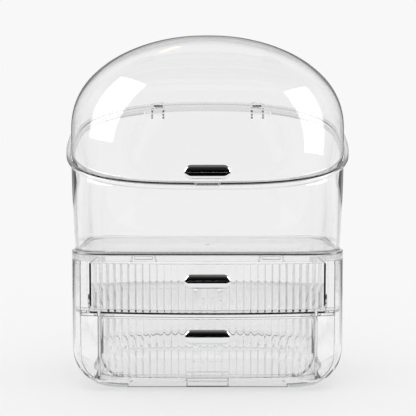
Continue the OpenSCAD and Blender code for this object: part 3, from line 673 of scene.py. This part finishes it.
# a ring round the tray: the fluted or plain front, then the sides, corners and back
def trayRing(half, back, cornerR, z, inside, forward=0):
    ring = []
    for x, y in fluted:
        x = max(-half, min(half, x))
        ring.append((x, frontY(x, inside) + forward, z))
    sideY = frontY(half, inside) + forward
    deep, wide = tray["sideSteps"], tray["backSteps"]
    right = [(half, sideY + (back - cornerR - sideY) * i / deep, z) for i in range(1, deep)]
    right += [(half - cornerR + cornerR * math.cos(a), back - cornerR + cornerR * math.sin(a), z)
              for a in quarter(8)]
    across = [(half - cornerR - 2 * (half - cornerR) * i / wide, back, z) for i in range(1, wide)]
    left = [(-x, y, z) for x, y, z in reversed(right)]
    return ring + right + across + left


def makeDrawer(spec, node):
    half, low, high = spec["half"], spec["z"], spec["z"] + spec["height"]
    wall, edge, fillet, lowR = tray["wall"], tray["edge"], tray["fillet"], spec["lowR"]
    rings = []
    if lowR:
        for a in reversed(quarter(tray["lowSteps"])):
            drop = lowR * (1 - math.cos(a))
            rings.append(trayRing(half - drop, tray["back"] - drop, tray["cornerR"],
                                  low + lowR * (1 - math.sin(a)), False))
    else:
        for a in quarter(3):
            inset = edge * (1 - math.sin(a))
            rings.append(trayRing(half - inset, tray["back"] - inset, tray["cornerR"] - inset,
                                  low + edge * (1 - math.cos(a)), False, inset * 0.5))
    for a in quarter(3):
        inset = edge * (1 - math.cos(a))
        rings.append(trayRing(half - inset, tray["back"] - inset, tray["cornerR"] - inset,
                              high - edge + edge * math.sin(a), False, inset))
    inHalf, inBack, inCorner = half - wall, tray["back"] - wall, tray["cornerR"] - wall
    for a in quarter(3):
        inset = edge * (1 - math.sin(a))
        rings.append(trayRing(inHalf + inset, inBack + inset, inCorner + inset,
                              high - edge + edge * math.cos(a), True, -inset))
    if lowR:
        inR = lowR - wall
        for a in quarter(tray["lowSteps"]):
            drop = inR * (1 - math.cos(a))
            rings.append(trayRing(inHalf - drop, inBack - drop, inCorner,
                                  low + wall + inR * (1 - math.sin(a)), True,
                                  tray["bulge"] * (1 - math.cos(a))))
    else:
        for a in quarter(6):
            inset = fillet * (1 - math.cos(a))
            rings.append(trayRing(inHalf - inset, inBack - inset, inCorner,
                                  low + wall + fillet * (1 - math.sin(a)), True, inset))
    piece = loft(spec["name"] + "Moulded", rings)
    middle = (drawerFront["y"] + tray["back"]) / 2
    combine(piece, [gateMark(middle, low + wall)])
    combine(piece, pegHoles(spec["pullZ"], drawerFront["y"] - 3, drawerFront["y"] + 5), "DIFFERENCE")

    # the front's outline: its two upright edges, the rounded corners and the bottom
    def onOutline(p):
        x, y, z = abs(p.x) * 1000, p.y * 1000, p.z * 1000 - low
        side = half if z > lowR else half - lowR + math.sqrt(max(0, lowR ** 2 - (lowR - z) ** 2))
        onFoot = lowR > 0 and z < tray["outlineLow"]
        return y < tray["outlineFrom"] and (x > side - tray["outlineNear"] or onFoot)

    # the outline's broken edges take the near-black edge material: painted shade that draws the front's
    # outline as dark lines
    breakEdges(piece, tray["broken"], onOutline)
    return dress(piece, node, node, plasticMaterial)


upperPiece = makeDrawer(upperDrawer, "upper_drawer")
lowerPiece = makeDrawer(lowerDrawer, "lower_drawer")
print("drawers made", len(upperPiece.data.polygons), len(lowerPiece.data.polygons))


# pulls: crowned, bevelled plates on a neck with two pegs
pull = {"width": 45.8, "height": 14.4, "thick": 4.6, "off": 5.4, "crownR": 16, "rimW": 3.2, "rimR": 5,
        "edge": 0.35, "backRound": 0.4, "neckW": 33.8, "neckH": 7.8, "neckFillet": 0.6, "headR": 2.8,
        "headT": 1.2, "gap": 0.1, "around": 128,
        "insets": (7.15, 6.4, 5.6, 4.8, 4.1, 3.6, 3.2, 2.9, 2.6, 2.3, 2.0, 1.7, 1.4, 1.1, 0.8, 0.55)}


# a ring with straight top and bottom and half-round ends, whose y follows its height
def stadiumRing(width, height, yOf):
    half, r = (width - height) / 2, height / 2
    ring = []
    for i in range(pull["around"]):
        a = 2 * math.pi * (i + 0.5) / pull["around"]
        side = half if math.cos(a) > 0 else -half
        x, z = side + r * math.cos(a), r * math.sin(a)
        ring.append((x, yOf(z), z))
    return ring


# a pull whose pegs go through a wall that starts at faceY
def makePull(name, body, node, faceY, centreZ, through):
    def crown(z):
        return -pull["off"] - pull["thick"] + pull["crownR"] - math.sqrt(pull["crownR"] ** 2 - z * z)

    def rimDrop(inset):
        into = max(0, pull["rimW"] - inset)
        return pull["rimR"] - math.sqrt(pull["rimR"] ** 2 - into ** 2)

    rings = []
    edge = pull["edge"]
    for inset in pull["insets"] + (edge,):
        rings.append(stadiumRing(pull["width"] - 2 * inset, pull["height"] - 2 * inset,
                                 lambda z: crown(z) + rimDrop(inset)))
    for a in quarter(3)[1:]:
        inset = edge * (1 - math.sin(a))
        rings.append(stadiumRing(pull["width"] - 2 * inset, pull["height"] - 2 * inset,
                                 lambda z: crown(z) + rimDrop(edge) + edge * (1.2 - math.cos(a))))
    back, rounded, fillet = -pull["off"], pull["backRound"], pull["neckFillet"]
    for width, height, grow, y in (
            (pull["width"], pull["height"], 0, back - rounded),
            (pull["width"], pull["height"], -2 * rounded, back),
            (pull["neckW"], pull["neckH"], 2 * fillet, back),
            (pull["neckW"], pull["neckH"], 0, back + fillet),
            (pull["neckW"], pull["neckH"], 0, 0)):
        rings.append(stadiumRing(width + grow, height + grow, lambda z: y))
    rings = [[(x, y + faceY, z + centreZ) for x, y, z in ring] for ring in rings]
    piece = loft(name, rings, sharpDegrees=40)
    ends = []
    for x in (-pegs["x"], pegs["x"]):
        peg = rodY("peg", x, centreZ, pegs["r"], faceY - 1, faceY + through + 1)
        seat = faceY + through + 0.2
        ends.append(combine(peg, [rodY("head", x, centreZ, pull["headR"], seat, seat + pull["headT"])]))
    combine(piece, ends, sharpDegrees=40)
    return dress(piece, body, node, chromeMaterial)


pullY = drawerFront["y"] - drawerFront["fluteH"] - pull["gap"]
frontThick = drawerFront["wall"] + drawerFront["fluteH"] + pull["gap"]
makePull("upperPullChromed", "upper_drawer", "upper_drawer_handle", pullY, upperDrawer["pullZ"], frontThick)
makePull("lowerPullChromed", "lower_drawer", "lower_drawer_handle", pullY, lowerDrawer["pullZ"], frontThick)
makePull("lidPullChromed", "lid", "lid_handle", -rimB - pull["gap"], lid["pullZ"], lid["wall"] + pull["gap"])
print("pulls made")


# pads: soft corners under the foot ring
pad = {"halfW": 123, "halfD": 70, "outR": 40, "wall": 3.2, "height": 3.4, "tail": 0.5, "round": 0.5,
       "steps": 36}


def makePad(sx, sy, node):
    cx, cy = sx * (pad["halfW"] - pad["outR"]), sy * (pad["halfD"] - pad["outR"])
    outer, inner, tail = pad["outR"], pad["outR"] - pad["wall"], pad["tail"]
    arc = [(math.cos(a), math.sin(a)) for a in quarter(pad["steps"])]

    def section(c, s, backX, backY):
        corner = pad["round"]
        shape = [(outer, corner), (outer - corner * 0.3, corner * 0.3), (outer - corner, 0),
                 (inner + corner, 0), (inner + corner * 0.3, corner * 0.3), (inner, corner),
                 (inner, pad["height"]), (outer, pad["height"])]
        return [(cx + sx * (r * c - backX), cy + sy * (r * s - backY), z) for r, z in shape]

    rings = [section(1, 0, 0, tail)] + [section(c, s, 0, 0) for c, s in arc] + [section(0, 1, tail, 0)]
    piece = loft("padMoulded" + node.replace("pad", ""), rings)
    return dress(piece, "stand", node, siliconeMaterial)


for sx, across in ((-1, "left"), (1, "right")):
    for sy, along in ((-1, "front"), (1, "back")):
        makePad(sx, sy, "pad_" + along + "_" + across)
print("pads made")


# cabinet: one moulding with round lower edges, an open front and a clipping lip
shell = {"bottom": 9.7, "wall": 2.5, "edge": 0.4, "lipOut": 2.0, "lipWall": 1.8, "lipTop": 139.2,
         "lipFoot": 128.8, "mouthHalf": 129.5, "mouthLow": 12.2, "mouthR": 24, "recess": (42.5, 29, 0.8),
         "tongueW": 26, "tongueLean": 1.6, "slotW": 0.9, "slotFoot": 133.4, "runnerX": 80.3,
         "runnerW": 3, "runner": (-73, 52), "runnerTop": 14.9, "cutReach": 120,
         "cornerSteps": 22, "sideSteps": 8, "frontSteps": 16, "underSteps": 30,
         "broken": 0.27, "brokenLip": 132.5, "brokenRecess": (25, -50, 12.5), "brokenSide": (0.6, -60, 45.5),
         "cutFront": -50, "cutTurned": 0.2, "cutNear": 0.4, "cutBend": 4}


# a ring round the body; drop is what the rounded lower edge takes off the sides and the back
def bodyRing(inset, z, drop=0):
    r, half, end = cabinet["cornerR"] - inset, cabinet["width"] / 2 - inset, cabinet["depth"] / 2 - inset
    flat = half - r
    turns, along, across = shell["cornerSteps"], shell["sideSteps"], shell["frontSteps"]
    right = [(min(flat + r * math.sin(a), half - drop), -end + r - r * math.cos(a), z)
             for a in quarter(turns)]
    right += [(half - drop, -end + r + (2 * end - 2 * r) * i / along, z) for i in range(1, along)]
    right += [(flat + (r - drop) * math.cos(a), end - r + (r - drop) * math.sin(a), z)
              for a in quarter(turns)]
    front = [(-flat + 2 * flat * i / across, -end, z) for i in range(1, across)]
    back = [(flat - 2 * flat * i / across, end - drop, z) for i in range(1, across)]
    return front + right + back + [(-x, y, z) for x, y, z in reversed(right)]


def roundedBody(inset, up=True):
    r, low = cabinet["cornerR"] - inset, shell["bottom"] + inset
    rings = [bodyRing(inset, low + r * (1 - math.cos(a)), r * (1 - math.sin(a)))
             for a in quarter(shell["underSteps"])]
    return rings if up else rings[::-1]


# the edges to break: those of the lip, of the recess's front and of the mouth's upright sides
def edgeToBreak(p):
    x, y, z = abs(p.x) * 1000, p.y * 1000, p.z * 1000
    half, front, top = shell["brokenRecess"]
    near, before, low = shell["brokenSide"]
    onRecess = x < half and y < front and z < top
    onSide = abs(x - shell["mouthHalf"]) < near and y < before and z > low
    return z > shell["brokenLip"] or onRecess or onSide


# the faces of the mouth's cut: near the front, square to it and along the mouth's line
def onMouth(p, normal):
    x, z, corner = abs(p.x) * 1000, p.z * 1000, shell["mouthR"]
    if p.y * 1000 > shell["cutFront"] or abs(normal.y) > shell["cutTurned"]:
        return False
    across, down = x - shell["mouthHalf"] + corner, shell["mouthLow"] + corner - z
    if down < 0:
        return abs(across - corner) < shell["cutNear"]
    return across > shell["cutBend"] and abs(math.hypot(across, down) - corner) < shell["cutNear"]


def makeCabinet():
    edge, lip, foot = shell["edge"], shell["lipOut"], shell["lipFoot"]
    wall, top, inner = shell["wall"], shell["lipTop"], shell["lipOut"] + shell["lipWall"]
    rings = roundedBody(0)
    rings += [bodyRing(edge * (1 - math.cos(a)), cabinet["top"] - edge + edge * math.sin(a))
              for a in quarter(3)]
    rings += [bodyRing(lip, cabinet["top"])]
    rings += [bodyRing(lip + edge * (1 - math.cos(a)), top - edge + edge * math.sin(a)) for a in quarter(3)]
    rings += [bodyRing(inner - edge * (1 - math.sin(a)), top - edge + edge * math.cos(a)) for a in quarter(3)]
    rings += [bodyRing(inner, foot), bodyRing(wall, foot)]
    rings += roundedBody(wall, False)
    piece = loft("cabinetMoulded", rings)
    half, low, r = shell["mouthHalf"], shell["mouthLow"], shell["mouthR"]
    right = [(half - r + r * math.sin(a), low + r - r * math.cos(a)) for a in quarter(32)]
    mouth = right + [(half, cabinet["top"]), (-half, cabinet["top"])] + [(-x, z) for x, z in reversed(right)]
    reach = shell["cutReach"]
    cuts = [prism("mouth", mouth, -reach, 0, alongX=False)]
    for x in (-clip["x"], clip["x"]):
        out, lean, slot, low = shell["tongueW"] / 2, shell["tongueLean"], shell["slotW"], shell["slotFoot"]
        for s in (-1, 1):
            slit = [(x + s * out, low), (x + s * (out - slot), low), (x + s * (out - slot - lean), top + 1),
                    (x + s * (out - lean), top + 1)]
            cuts.append(prism("slit", slit, -reach, reach, alongX=False))
        x0, x1 = x - clip["windowW"] / 2, x + clip["windowW"] / 2
        z0, z1 = clip["windowZ"], clip["windowZ"] + clip["windowH"]
        cuts.append(prism("window", [(x0, z0), (x1, z0), (x1, z1), (x0, z1)], -reach, reach, alongX=False))
    across, deep, cut = shell["recess"]
    cuts.append(blockAt("recess", (-across / 2, -cabinet["depth"] / 2 - 1, shell["mouthLow"] - cut),
                        (across / 2, -cabinet["depth"] / 2 + deep, shell["mouthLow"] + 1)))
    combine(piece, cuts, "DIFFERENCE")
    (y0, y1), half, low = shell["runner"], shell["runnerW"] / 2, shell["mouthLow"] - 1
    combine(piece, [blockAt("runner", (x - half, y0, low), (x + half, y1, shell["runnerTop"]))
                    for x in (-shell["runnerX"], shell["runnerX"])])
    # the broken edges and the mouth's cut faces take the near-black edge material: painted shade that draws
    # them as dark lines
    breakEdges(piece, shell["broken"], edgeToBreak)
    for face in piece.data.polygons:
        if onMouth(face.center, face.normal):
            face.material_index = 1
    return dress(piece, "stand", "cabinet", plasticMaterial)


cabinetPiece = makeCabinet()
print("cabinet made", len(cabinetPiece.data.polygons))

# rack, foot ring and pins: the frame's own shapes, with edges broken by so many mm; on the acrylic ones the
# broken edges are painted shade in the near-black edge material
frameShapes = {
    "drawer_rack": ("rackMoulded", 0.36, "clear_plastic", plasticMaterial),
    "foot_ring": ("footRingMoulded", 0.36, "clear_plastic", plasticMaterial),
    "hinge_pin_left": ("pinDrawnleft", 0.25, "steel", steelMaterial),
    "hinge_pin_right": ("pinDrawnright", 0.25, "steel", steelMaterial),
}
for node, (name, width, slot, material) in frameShapes.items():
    dress(fromNode(node, name, width), "stand", node, material)
print("rack, ring and pins made")


# studio: a pale floor in a white surround
studio = {"white": "#F8F8F8", "light": "#FFFFFF", "lightStrength": 1.04, "floor": "#F4F4F4",
          "shade": 0.35, "shadeFrom": 0.2, "shadeTo": 1.2, "floorR": 6.0, "floorAround": 96}


def whiteWorld():
    world = bpy.data.worlds.new("whiteStudio")
    world.use_nodes = True
    tree = world.node_tree
    tree.nodes.clear()
    path = addNode(tree, "ShaderNodeLightPath")
    seen = path.outputs["Is Camera Ray"]
    for ray in ("Is Glossy Ray", "Is Transmission Ray"):
        seen = addNode(tree, "ShaderNodeMath", {"operation": "MAXIMUM"},
                       {0: seen, 1: path.outputs[ray]}).outputs[0]
    light = addNode(tree, "ShaderNodeBackground",
                    {"Color": toLinear(studio["light"]), "Strength": studio["lightStrength"]})
    shown = addNode(tree, "ShaderNodeBackground", {"Color": toLinear(studio["white"]), "Strength": 1.0})
    mix = addNode(tree, "ShaderNodeMixShader", None, {0: seen, 1: light.outputs[0], 2: shown.outputs[0]})
    addNode(tree, "ShaderNodeOutputWorld", None, {"Surface": mix.outputs[0]})
    bpy.context.scene.world = world


# a thing of the studio, in metres; unless it is seen, only reflected or bent light meets it
def stageObject(name, points, faces, material, seen=False):
    mesh = bpy.data.meshes.new(name)
    mesh.from_pydata(points, [], faces)
    obj = bpy.data.objects.new(name, mesh)
    bpy.context.scene.collection.objects.link(obj)
    obj.data.materials.append(material)
    if not seen:
        obj.visible_camera = False
        obj.visible_diffuse = False
        obj.visible_shadow = False


def floorMaterial():
    material, tree = startMaterial("palePaperFloor")
    place = addNode(tree, "ShaderNodeTexCoord")
    away = addNode(tree, "ShaderNodeVectorMath", {"operation": "LENGTH"}, {0: place.outputs["Object"]})
    fade = addNode(tree, "ShaderNodeMapRange",
                   {"From Min": studio["shadeFrom"], "From Max": studio["shadeTo"],
                    "To Min": studio["shade"], "To Max": 0, "interpolation_type": "SMOOTHSTEP"},
                   {"Value": away.outputs["Value"]})
    matt = addNode(tree, "ShaderNodeBsdfDiffuse", {"Color": toLinear(studio["floor"])})
    glow = addNode(tree, "ShaderNodeEmission", {"Color": toLinear(studio["white"]), "Strength": 1.0})
    mix = addNode(tree, "ShaderNodeMixShader", None,
                  {0: fade.outputs["Result"], 1: glow.outputs["Emission"], 2: matt.outputs["BSDF"]})
    addNode(tree, "ShaderNodeOutputMaterial", None, {"Surface": mix.outputs["Shader"]})
    return material


def paperFloor():
    points = [(x, y, 0) for x, y in circle(0, 0, studio["floorR"], studio["floorAround"])]
    stageObject("floor", points, [tuple(range(len(points)))], floorMaterial(), seen=True)


# a glowing card or cloth that only some light meets: in each case, all the named depths have to hold
def cardMaterial(name, hexColour, strength, cases):
    material, tree = startMaterial(name)
    path = addNode(tree, "ShaderNodeLightPath")
    met = None
    for case in cases:
        held = None
        for depth, operation, limit in case:
            passed = addNode(tree, "ShaderNodeMath", {"operation": operation, 1: limit},
                             {0: path.outputs[depth]})
            if held is not None:
                passed = addNode(tree, "ShaderNodeMath", {"operation": "MULTIPLY"},
                                 {0: held.outputs[0], 1: passed.outputs[0]})
            held = passed
        if met is not None:
            held = addNode(tree, "ShaderNodeMath", {"operation": "MAXIMUM"},
                           {0: met.outputs[0], 1: held.outputs[0]})
        met = held
    glow = addNode(tree, "ShaderNodeEmission", {"Color": toLinear(hexColour), "Strength": strength})
    clear = addNode(tree, "ShaderNodeBsdfTransparent")
    mix = addNode(tree, "ShaderNodeMixShader", None,
                  {0: met.outputs[0], 1: clear.outputs[0], 2: glow.outputs[0]})
    addNode(tree, "ShaderNodeOutputMaterial", None, {"Surface": mix.outputs["Shader"]})
    return material


# two softboxes, a warm lamp and the screens that keep the softboxes off the tub's corners; all of
# them meet light that was reflected once and has crossed two faces at most
onceReflected = ((("Glossy Depth", "GREATER_THAN", 0.5), ("Transmission Depth", "LESS_THAN", 2.5),
                  ("Glossy Depth", "LESS_THAN", 1.5)),)
# corners are where the corners of a card's reflection are on the dome, as x and z in mm; reach is how far
# the card is from them, in metres; other holds the ways to its other edge, from the last corner on
cards = {
    "softboxLeft": {"colour": "#FFFFFF", "strength": 4.6, "reach": 0.45,
                    "corners": ((-120.5, 256.4), (-96.1, 251.4), (-61.1, 311.8), (-89, 320.3))},
    "softboxRight": {"colour": "#FFFFFF", "strength": 4.6, "reach": 0.45,
                     "corners": ((99.3, 244.2), (117.7, 239.8), (101.4, 308.5), (76.2, 305.5))},
    "warmLamp": {"colour": "#FFB98A", "strength": 7.0, "reach": 1.6,
                 "corners": ((-47, 347.2), (-27.5, 352.1)),
                 "other": ((-0.035, 0.036, -0.021), (-0.045, 0.021, -0.017))},
}
view = {"lens": 82.64, "sensor": 36, "place": (0.0005, -1.043, 0.2523), "down": 3.89}
screen = {"colour": "#9A9A9A", "x": (0.130, 0.192), "y": (-0.140, -0.066), "z": (0.15, 0.236)}


# a point that the view meets mirrored in the dome's face at x and z
def mirrored(x, z, reach):
    eye = Vector(view["place"])
    place, normal = lidPiece.ray_cast((x / 1000, eye.y, z / 1000), (0, 1, 0))[1:3]
    return place + (place - eye).normalized().reflect(normal) * reach


def lightCards():
    bpy.context.view_layer.update()
    for name, card in cards.items():
        points = [mirrored(x, z, card["reach"]) for x, z in card["corners"]]
        points += [point + Vector(way) for point, way in zip(points[::-1], card.get("other", ()))]
        glow = cardMaterial(name + "Glow", card["colour"], card["strength"], onceReflected)
        stageObject(name, points, [(0, 1, 2, 3)], glow)


def screens():
    (x0, x1), (y0, y1), (z0, z1) = screen["x"], screen["y"], screen["z"]
    for s, side in ((-1, "Left"), (1, "Right")):
        points = [(s * x0, y0, z0), (s * x1, y1, z0), (s * x1, y1, z1), (s * x0, y0, z1)]
        stageObject("screen" + side, points, [(0, 1, 2, 3)],
                    cardMaterial("screenCloth", screen["colour"], 1.0, onceReflected))


# cloths on the table, in metres; edge is how far the table goes
table = {"edge": 2.6, "clothZ": 0.002, "sideZ": 0.0025, "sideColour": "#D4D4D4", "sideFrom": 0.1,
         "sideNear": 0.143, "sideSlope": 0.128, "wallsCrossed": 4.5}
# strips beside the bright table meet light that crossed many walls, or was reflected inside the box
stripCases = ((("Transmission Depth", "GREATER_THAN", table["wallsCrossed"]),),
              (("Transmission Depth", "GREATER_THAN", 1.5), ("Glossy Depth", "GREATER_THAN", 0.5)))
outside = ((("Glossy Depth", "GREATER_THAN", 0.5), ("Transmission Depth", "LESS_THAN", 0.5)),)
twice = ((("Glossy Depth", "GREATER_THAN", 1.5),),)
# colour, the light that meets it, and patches: x from and to, y from and to
cloths = {
    "tableFront": ("#040404", outside, ((-2.6, 2.6, -2.6, -0.42),)),
    "tableBack": ("#040404", twice, ((-2.6, 2.6, 0.35, 0.8), (-2.6, -0.19, 0.8, 1.3),
                                     (0.19, 2.6, 0.8, 1.3), (-2.6, 2.6, 1.3, 2.6))),
    "tableNear": ("#8C8C8C", twice, ((-0.16, 0.16, 0.12, 0.2),)),
}


def tableStrips():
    material = cardMaterial("tableSideCloth", table["sideColour"], 1.0, stripCases)
    near, far, start, z = table["sideNear"], table["edge"], table["sideFrom"], table["sideZ"]
    end = near + table["sideSlope"] * (far - start)
    for s, side in ((-1, "Left"), (1, "Right")):
        points = [(s * near, start, z), (s * far, start, z), (s * far, far, z), (s * end, far, z)]
        stageObject("tableSide" + side, points, [(0, 1, 2, 3)], material)


def tableCloths():
    for name, (colour, cases, patches) in cloths.items():
        points, faces = [], []
        for x0, x1, y0, y1 in patches:
            faces.append(tuple(range(len(points), len(points) + 4)))
            points += [(x, y, table["clothZ"]) for x, y in ((x0, y0), (x1, y0), (x1, y1), (x0, y1))]
        stageObject(name, points, faces, cardMaterial(name + "Cloth", colour, 1.0, cases))


# the room: a dome of cloth that only reflected or bent light meets
tent = {"radius": 3.0, "low": -3, "span": 92, "around": 96, "up": 32, "trapped": 0.6, "widerFar": 0.22,
        "front": "#040404", "frontHigh": "#3A3A3A", "frontInside": "#BEBEBE", "frontFar": "#CCCCCC",
        "ring": "#505050", "ringInside": "#B4B4B4", "sides": "#E4E4E4", "sidesInside": "#B4B4B4",
        "sidesFront": "#181818", "above": "#6A6A6A", "highFar": "#E4E4E4", "back": "#F8F8F8"}
# shares that go from 0 to 1 between two places in metres, or between two counts of crossed faces
tentBands = {
    "inside": ("faces", 0, 1), "far": ("faces", 3, 4), "met": ("depth", 0, 1),
    "wide": ("across", 1.45, 1.65), "tall": ("z", 1.5, 1.7), "rear": ("y", 1.6, 1.2),
    "forward": ("y", 0.3, -0.3), "high": ("z", 0.3, 1.2),
    "overFront": ("y", 0.6, 0.1), "overHigh": ("z", 2.0, 2.3),
    "raised": ("z", 0.6, 2.4), "aheadY": ("y", -1.2, -1.8), "aheadZ": ("z", 2.6, 2.3),
    "windowX": ("spread", 0.82, 0.72), "windowZ": ("z", 0.98, 0.84), "windowY": ("y", 1.2, 1.4),
    "doorZ": ("z", 0.9, 0.75), "doorBack": ("y", 0.62, 0.5), "doorFront": ("y", -0.62, -0.5),
}
# bands joined to places of the room; the doors at the sides meet light that came through the whole box
tentPlaces = {
    "beyond": ("MAXIMUM", "wide", "tall", "rear"), "highBeyond": ("MULTIPLY", "far", "high"),
    "over": ("MULTIPLY", "overFront", "overHigh"), "ahead": ("MULTIPLY", "aheadY", "aheadZ"),
    "window": ("MULTIPLY", "windowX", "windowZ", "windowY"),
    "doors": ("MULTIPLY", "far", "doorZ", "doorBack", "doorFront"),
    "openings": ("MAXIMUM", "window", "doors"),
}
# each mix goes from one colour to another, or from a mix to another, by the share of a place
tentMixes = (
    ("mixInside", "forward", "sidesInside", "sidesFront"), ("mixInside", "beyond", "ringInside", "mixInside"),
    ("mixInside", "highBeyond", "mixInside", "highFar"), ("mixOutside", "beyond", "ring", "sides"),
    ("mixOutside", "over", "mixOutside", "above"), ("mixRoom", "inside", "mixOutside", "mixInside"),
    ("mixFront", "raised", "front", "frontHigh"), ("mixDeep", "far", "frontInside", "frontFar"),
    ("mixFront", "inside", "mixFront", "mixDeep"), ("mixRoom", "ahead", "mixRoom", "mixFront"),
    ("mixRoom", "openings", "mixRoom", "back"),
)


def tentMaterial():
    material, tree = startMaterial("studioRoomWalls")
    place = addNode(tree, "ShaderNodeTexCoord")
    parts = addNode(tree, "ShaderNodeSeparateXYZ", None, {0: place.outputs["Object"]}).outputs
    path = addNode(tree, "ShaderNodeLightPath")
    bounces, crossed = path.outputs["Glossy Depth"], path.outputs["Transmission Depth"]
    across = addNode(tree, "ShaderNodeMath", {"operation": "ABSOLUTE"}, {0: parts["X"]}).outputs[0]
    depth = addNode(tree, "ShaderNodeMath", {"operation": "ADD"}, {0: bounces, 1: crossed}).outputs[0]
    # the window is wider for light that has crossed four faces
    four = addNode(tree, "ShaderNodeMath", {"operation": "COMPARE", 1: 4, 2: 0.5}, {0: crossed}).outputs[0]
    spread = addNode(tree, "ShaderNodeMath", {"operation": "MULTIPLY_ADD", 1: -tent["widerFar"]},
                     {0: four, 2: across}).outputs[0]
    read = {"faces": crossed, "depth": depth, "across": across, "spread": spread, "y": parts["Y"],
            "z": parts["Z"]}
    share = {}
    for name, (source, start, full) in tentBands.items():
        share[name] = addNode(tree, "ShaderNodeMapRange", {"From Min": start, "From Max": full},
                              {"Value": read[source]}).outputs[0]
    for name, (operation, first, *others) in tentPlaces.items():
        share[name] = share[first]
        for other in others:
            share[name] = addNode(tree, "ShaderNodeMath", {"operation": operation},
                                  {0: share[name], 1: share[other]}).outputs[0]
    mixes = {}
    for name, place, low, high in tentMixes:
        ends = {6: low, 7: high}
        settings = {key: toLinear(tent[end]) for key, end in ends.items() if end not in mixes}
        links = {key: mixes[end] for key, end in ends.items() if end in mixes}
        mixes[name] = addNode(tree, "ShaderNodeMix", {"data_type": "RGBA", **settings},
                              {0: share[place], **links}).outputs[2]
    # light caught between the walls gets weaker, but not far inside or in the openings
    kept = addNode(tree, "ShaderNodeMapRange",
                   {"From Min": 1, "From Max": 2, "To Min": 1, "To Max": tent["trapped"]},
                   {"Value": bounces}).outputs[0]
    for place in ("far", "openings"):
        kept = addNode(tree, "ShaderNodeMix", {"data_type": "FLOAT", 3: 1.0},
                       {0: share[place], 2: kept}).outputs[0]
    glow = addNode(tree, "ShaderNodeEmission", None, {"Color": mixes["mixRoom"], "Strength": kept})
    clear = addNode(tree, "ShaderNodeBsdfTransparent")
    mix = addNode(tree, "ShaderNodeMixShader", None,
                  {0: share["met"], 1: clear.outputs[0], 2: glow.outputs[0]})
    addNode(tree, "ShaderNodeOutputMaterial", None, {"Surface": mix.outputs["Shader"]})
    return material


def roomTent():
    r, around, up = tent["radius"], tent["around"], tent["up"]
    points, faces = [], []
    for i in range(around):
        h = (i + 1) % around
        az = 2 * math.pi * i / around
        for j in range(up):
            el = math.radians(tent["low"] + tent["span"] * j / up)
            flat = r * math.cos(el)
            points.append((flat * math.sin(az), flat * math.cos(az), r * math.sin(el)))
        faces += [(i * up + j, h * up + j, h * up + j + 1, i * up + j + 1) for j in range(up - 1)]
    faces.append(tuple(i * up + up - 1 for i in range(around)))
    stageObject("roomTent", points, faces, tentMaterial())


whiteWorld()
paperFloor()
lightCards()
screens()
tableStrips()
roomTent()
tableCloths()
print("studio made")

cameraData = bpy.data.cameras.new("camera")
cameraData.lens = view["lens"]
cameraData.sensor_width = view["sensor"]
camera = bpy.data.objects.new("camera", cameraData)
bpy.context.scene.collection.objects.link(camera)
camera.location = view["place"]
camera.rotation_euler = (math.radians(90 - view["down"]), 0, 0)
bpy.context.scene.camera = camera
bpy.context.scene.view_settings.view_transform = "Standard"
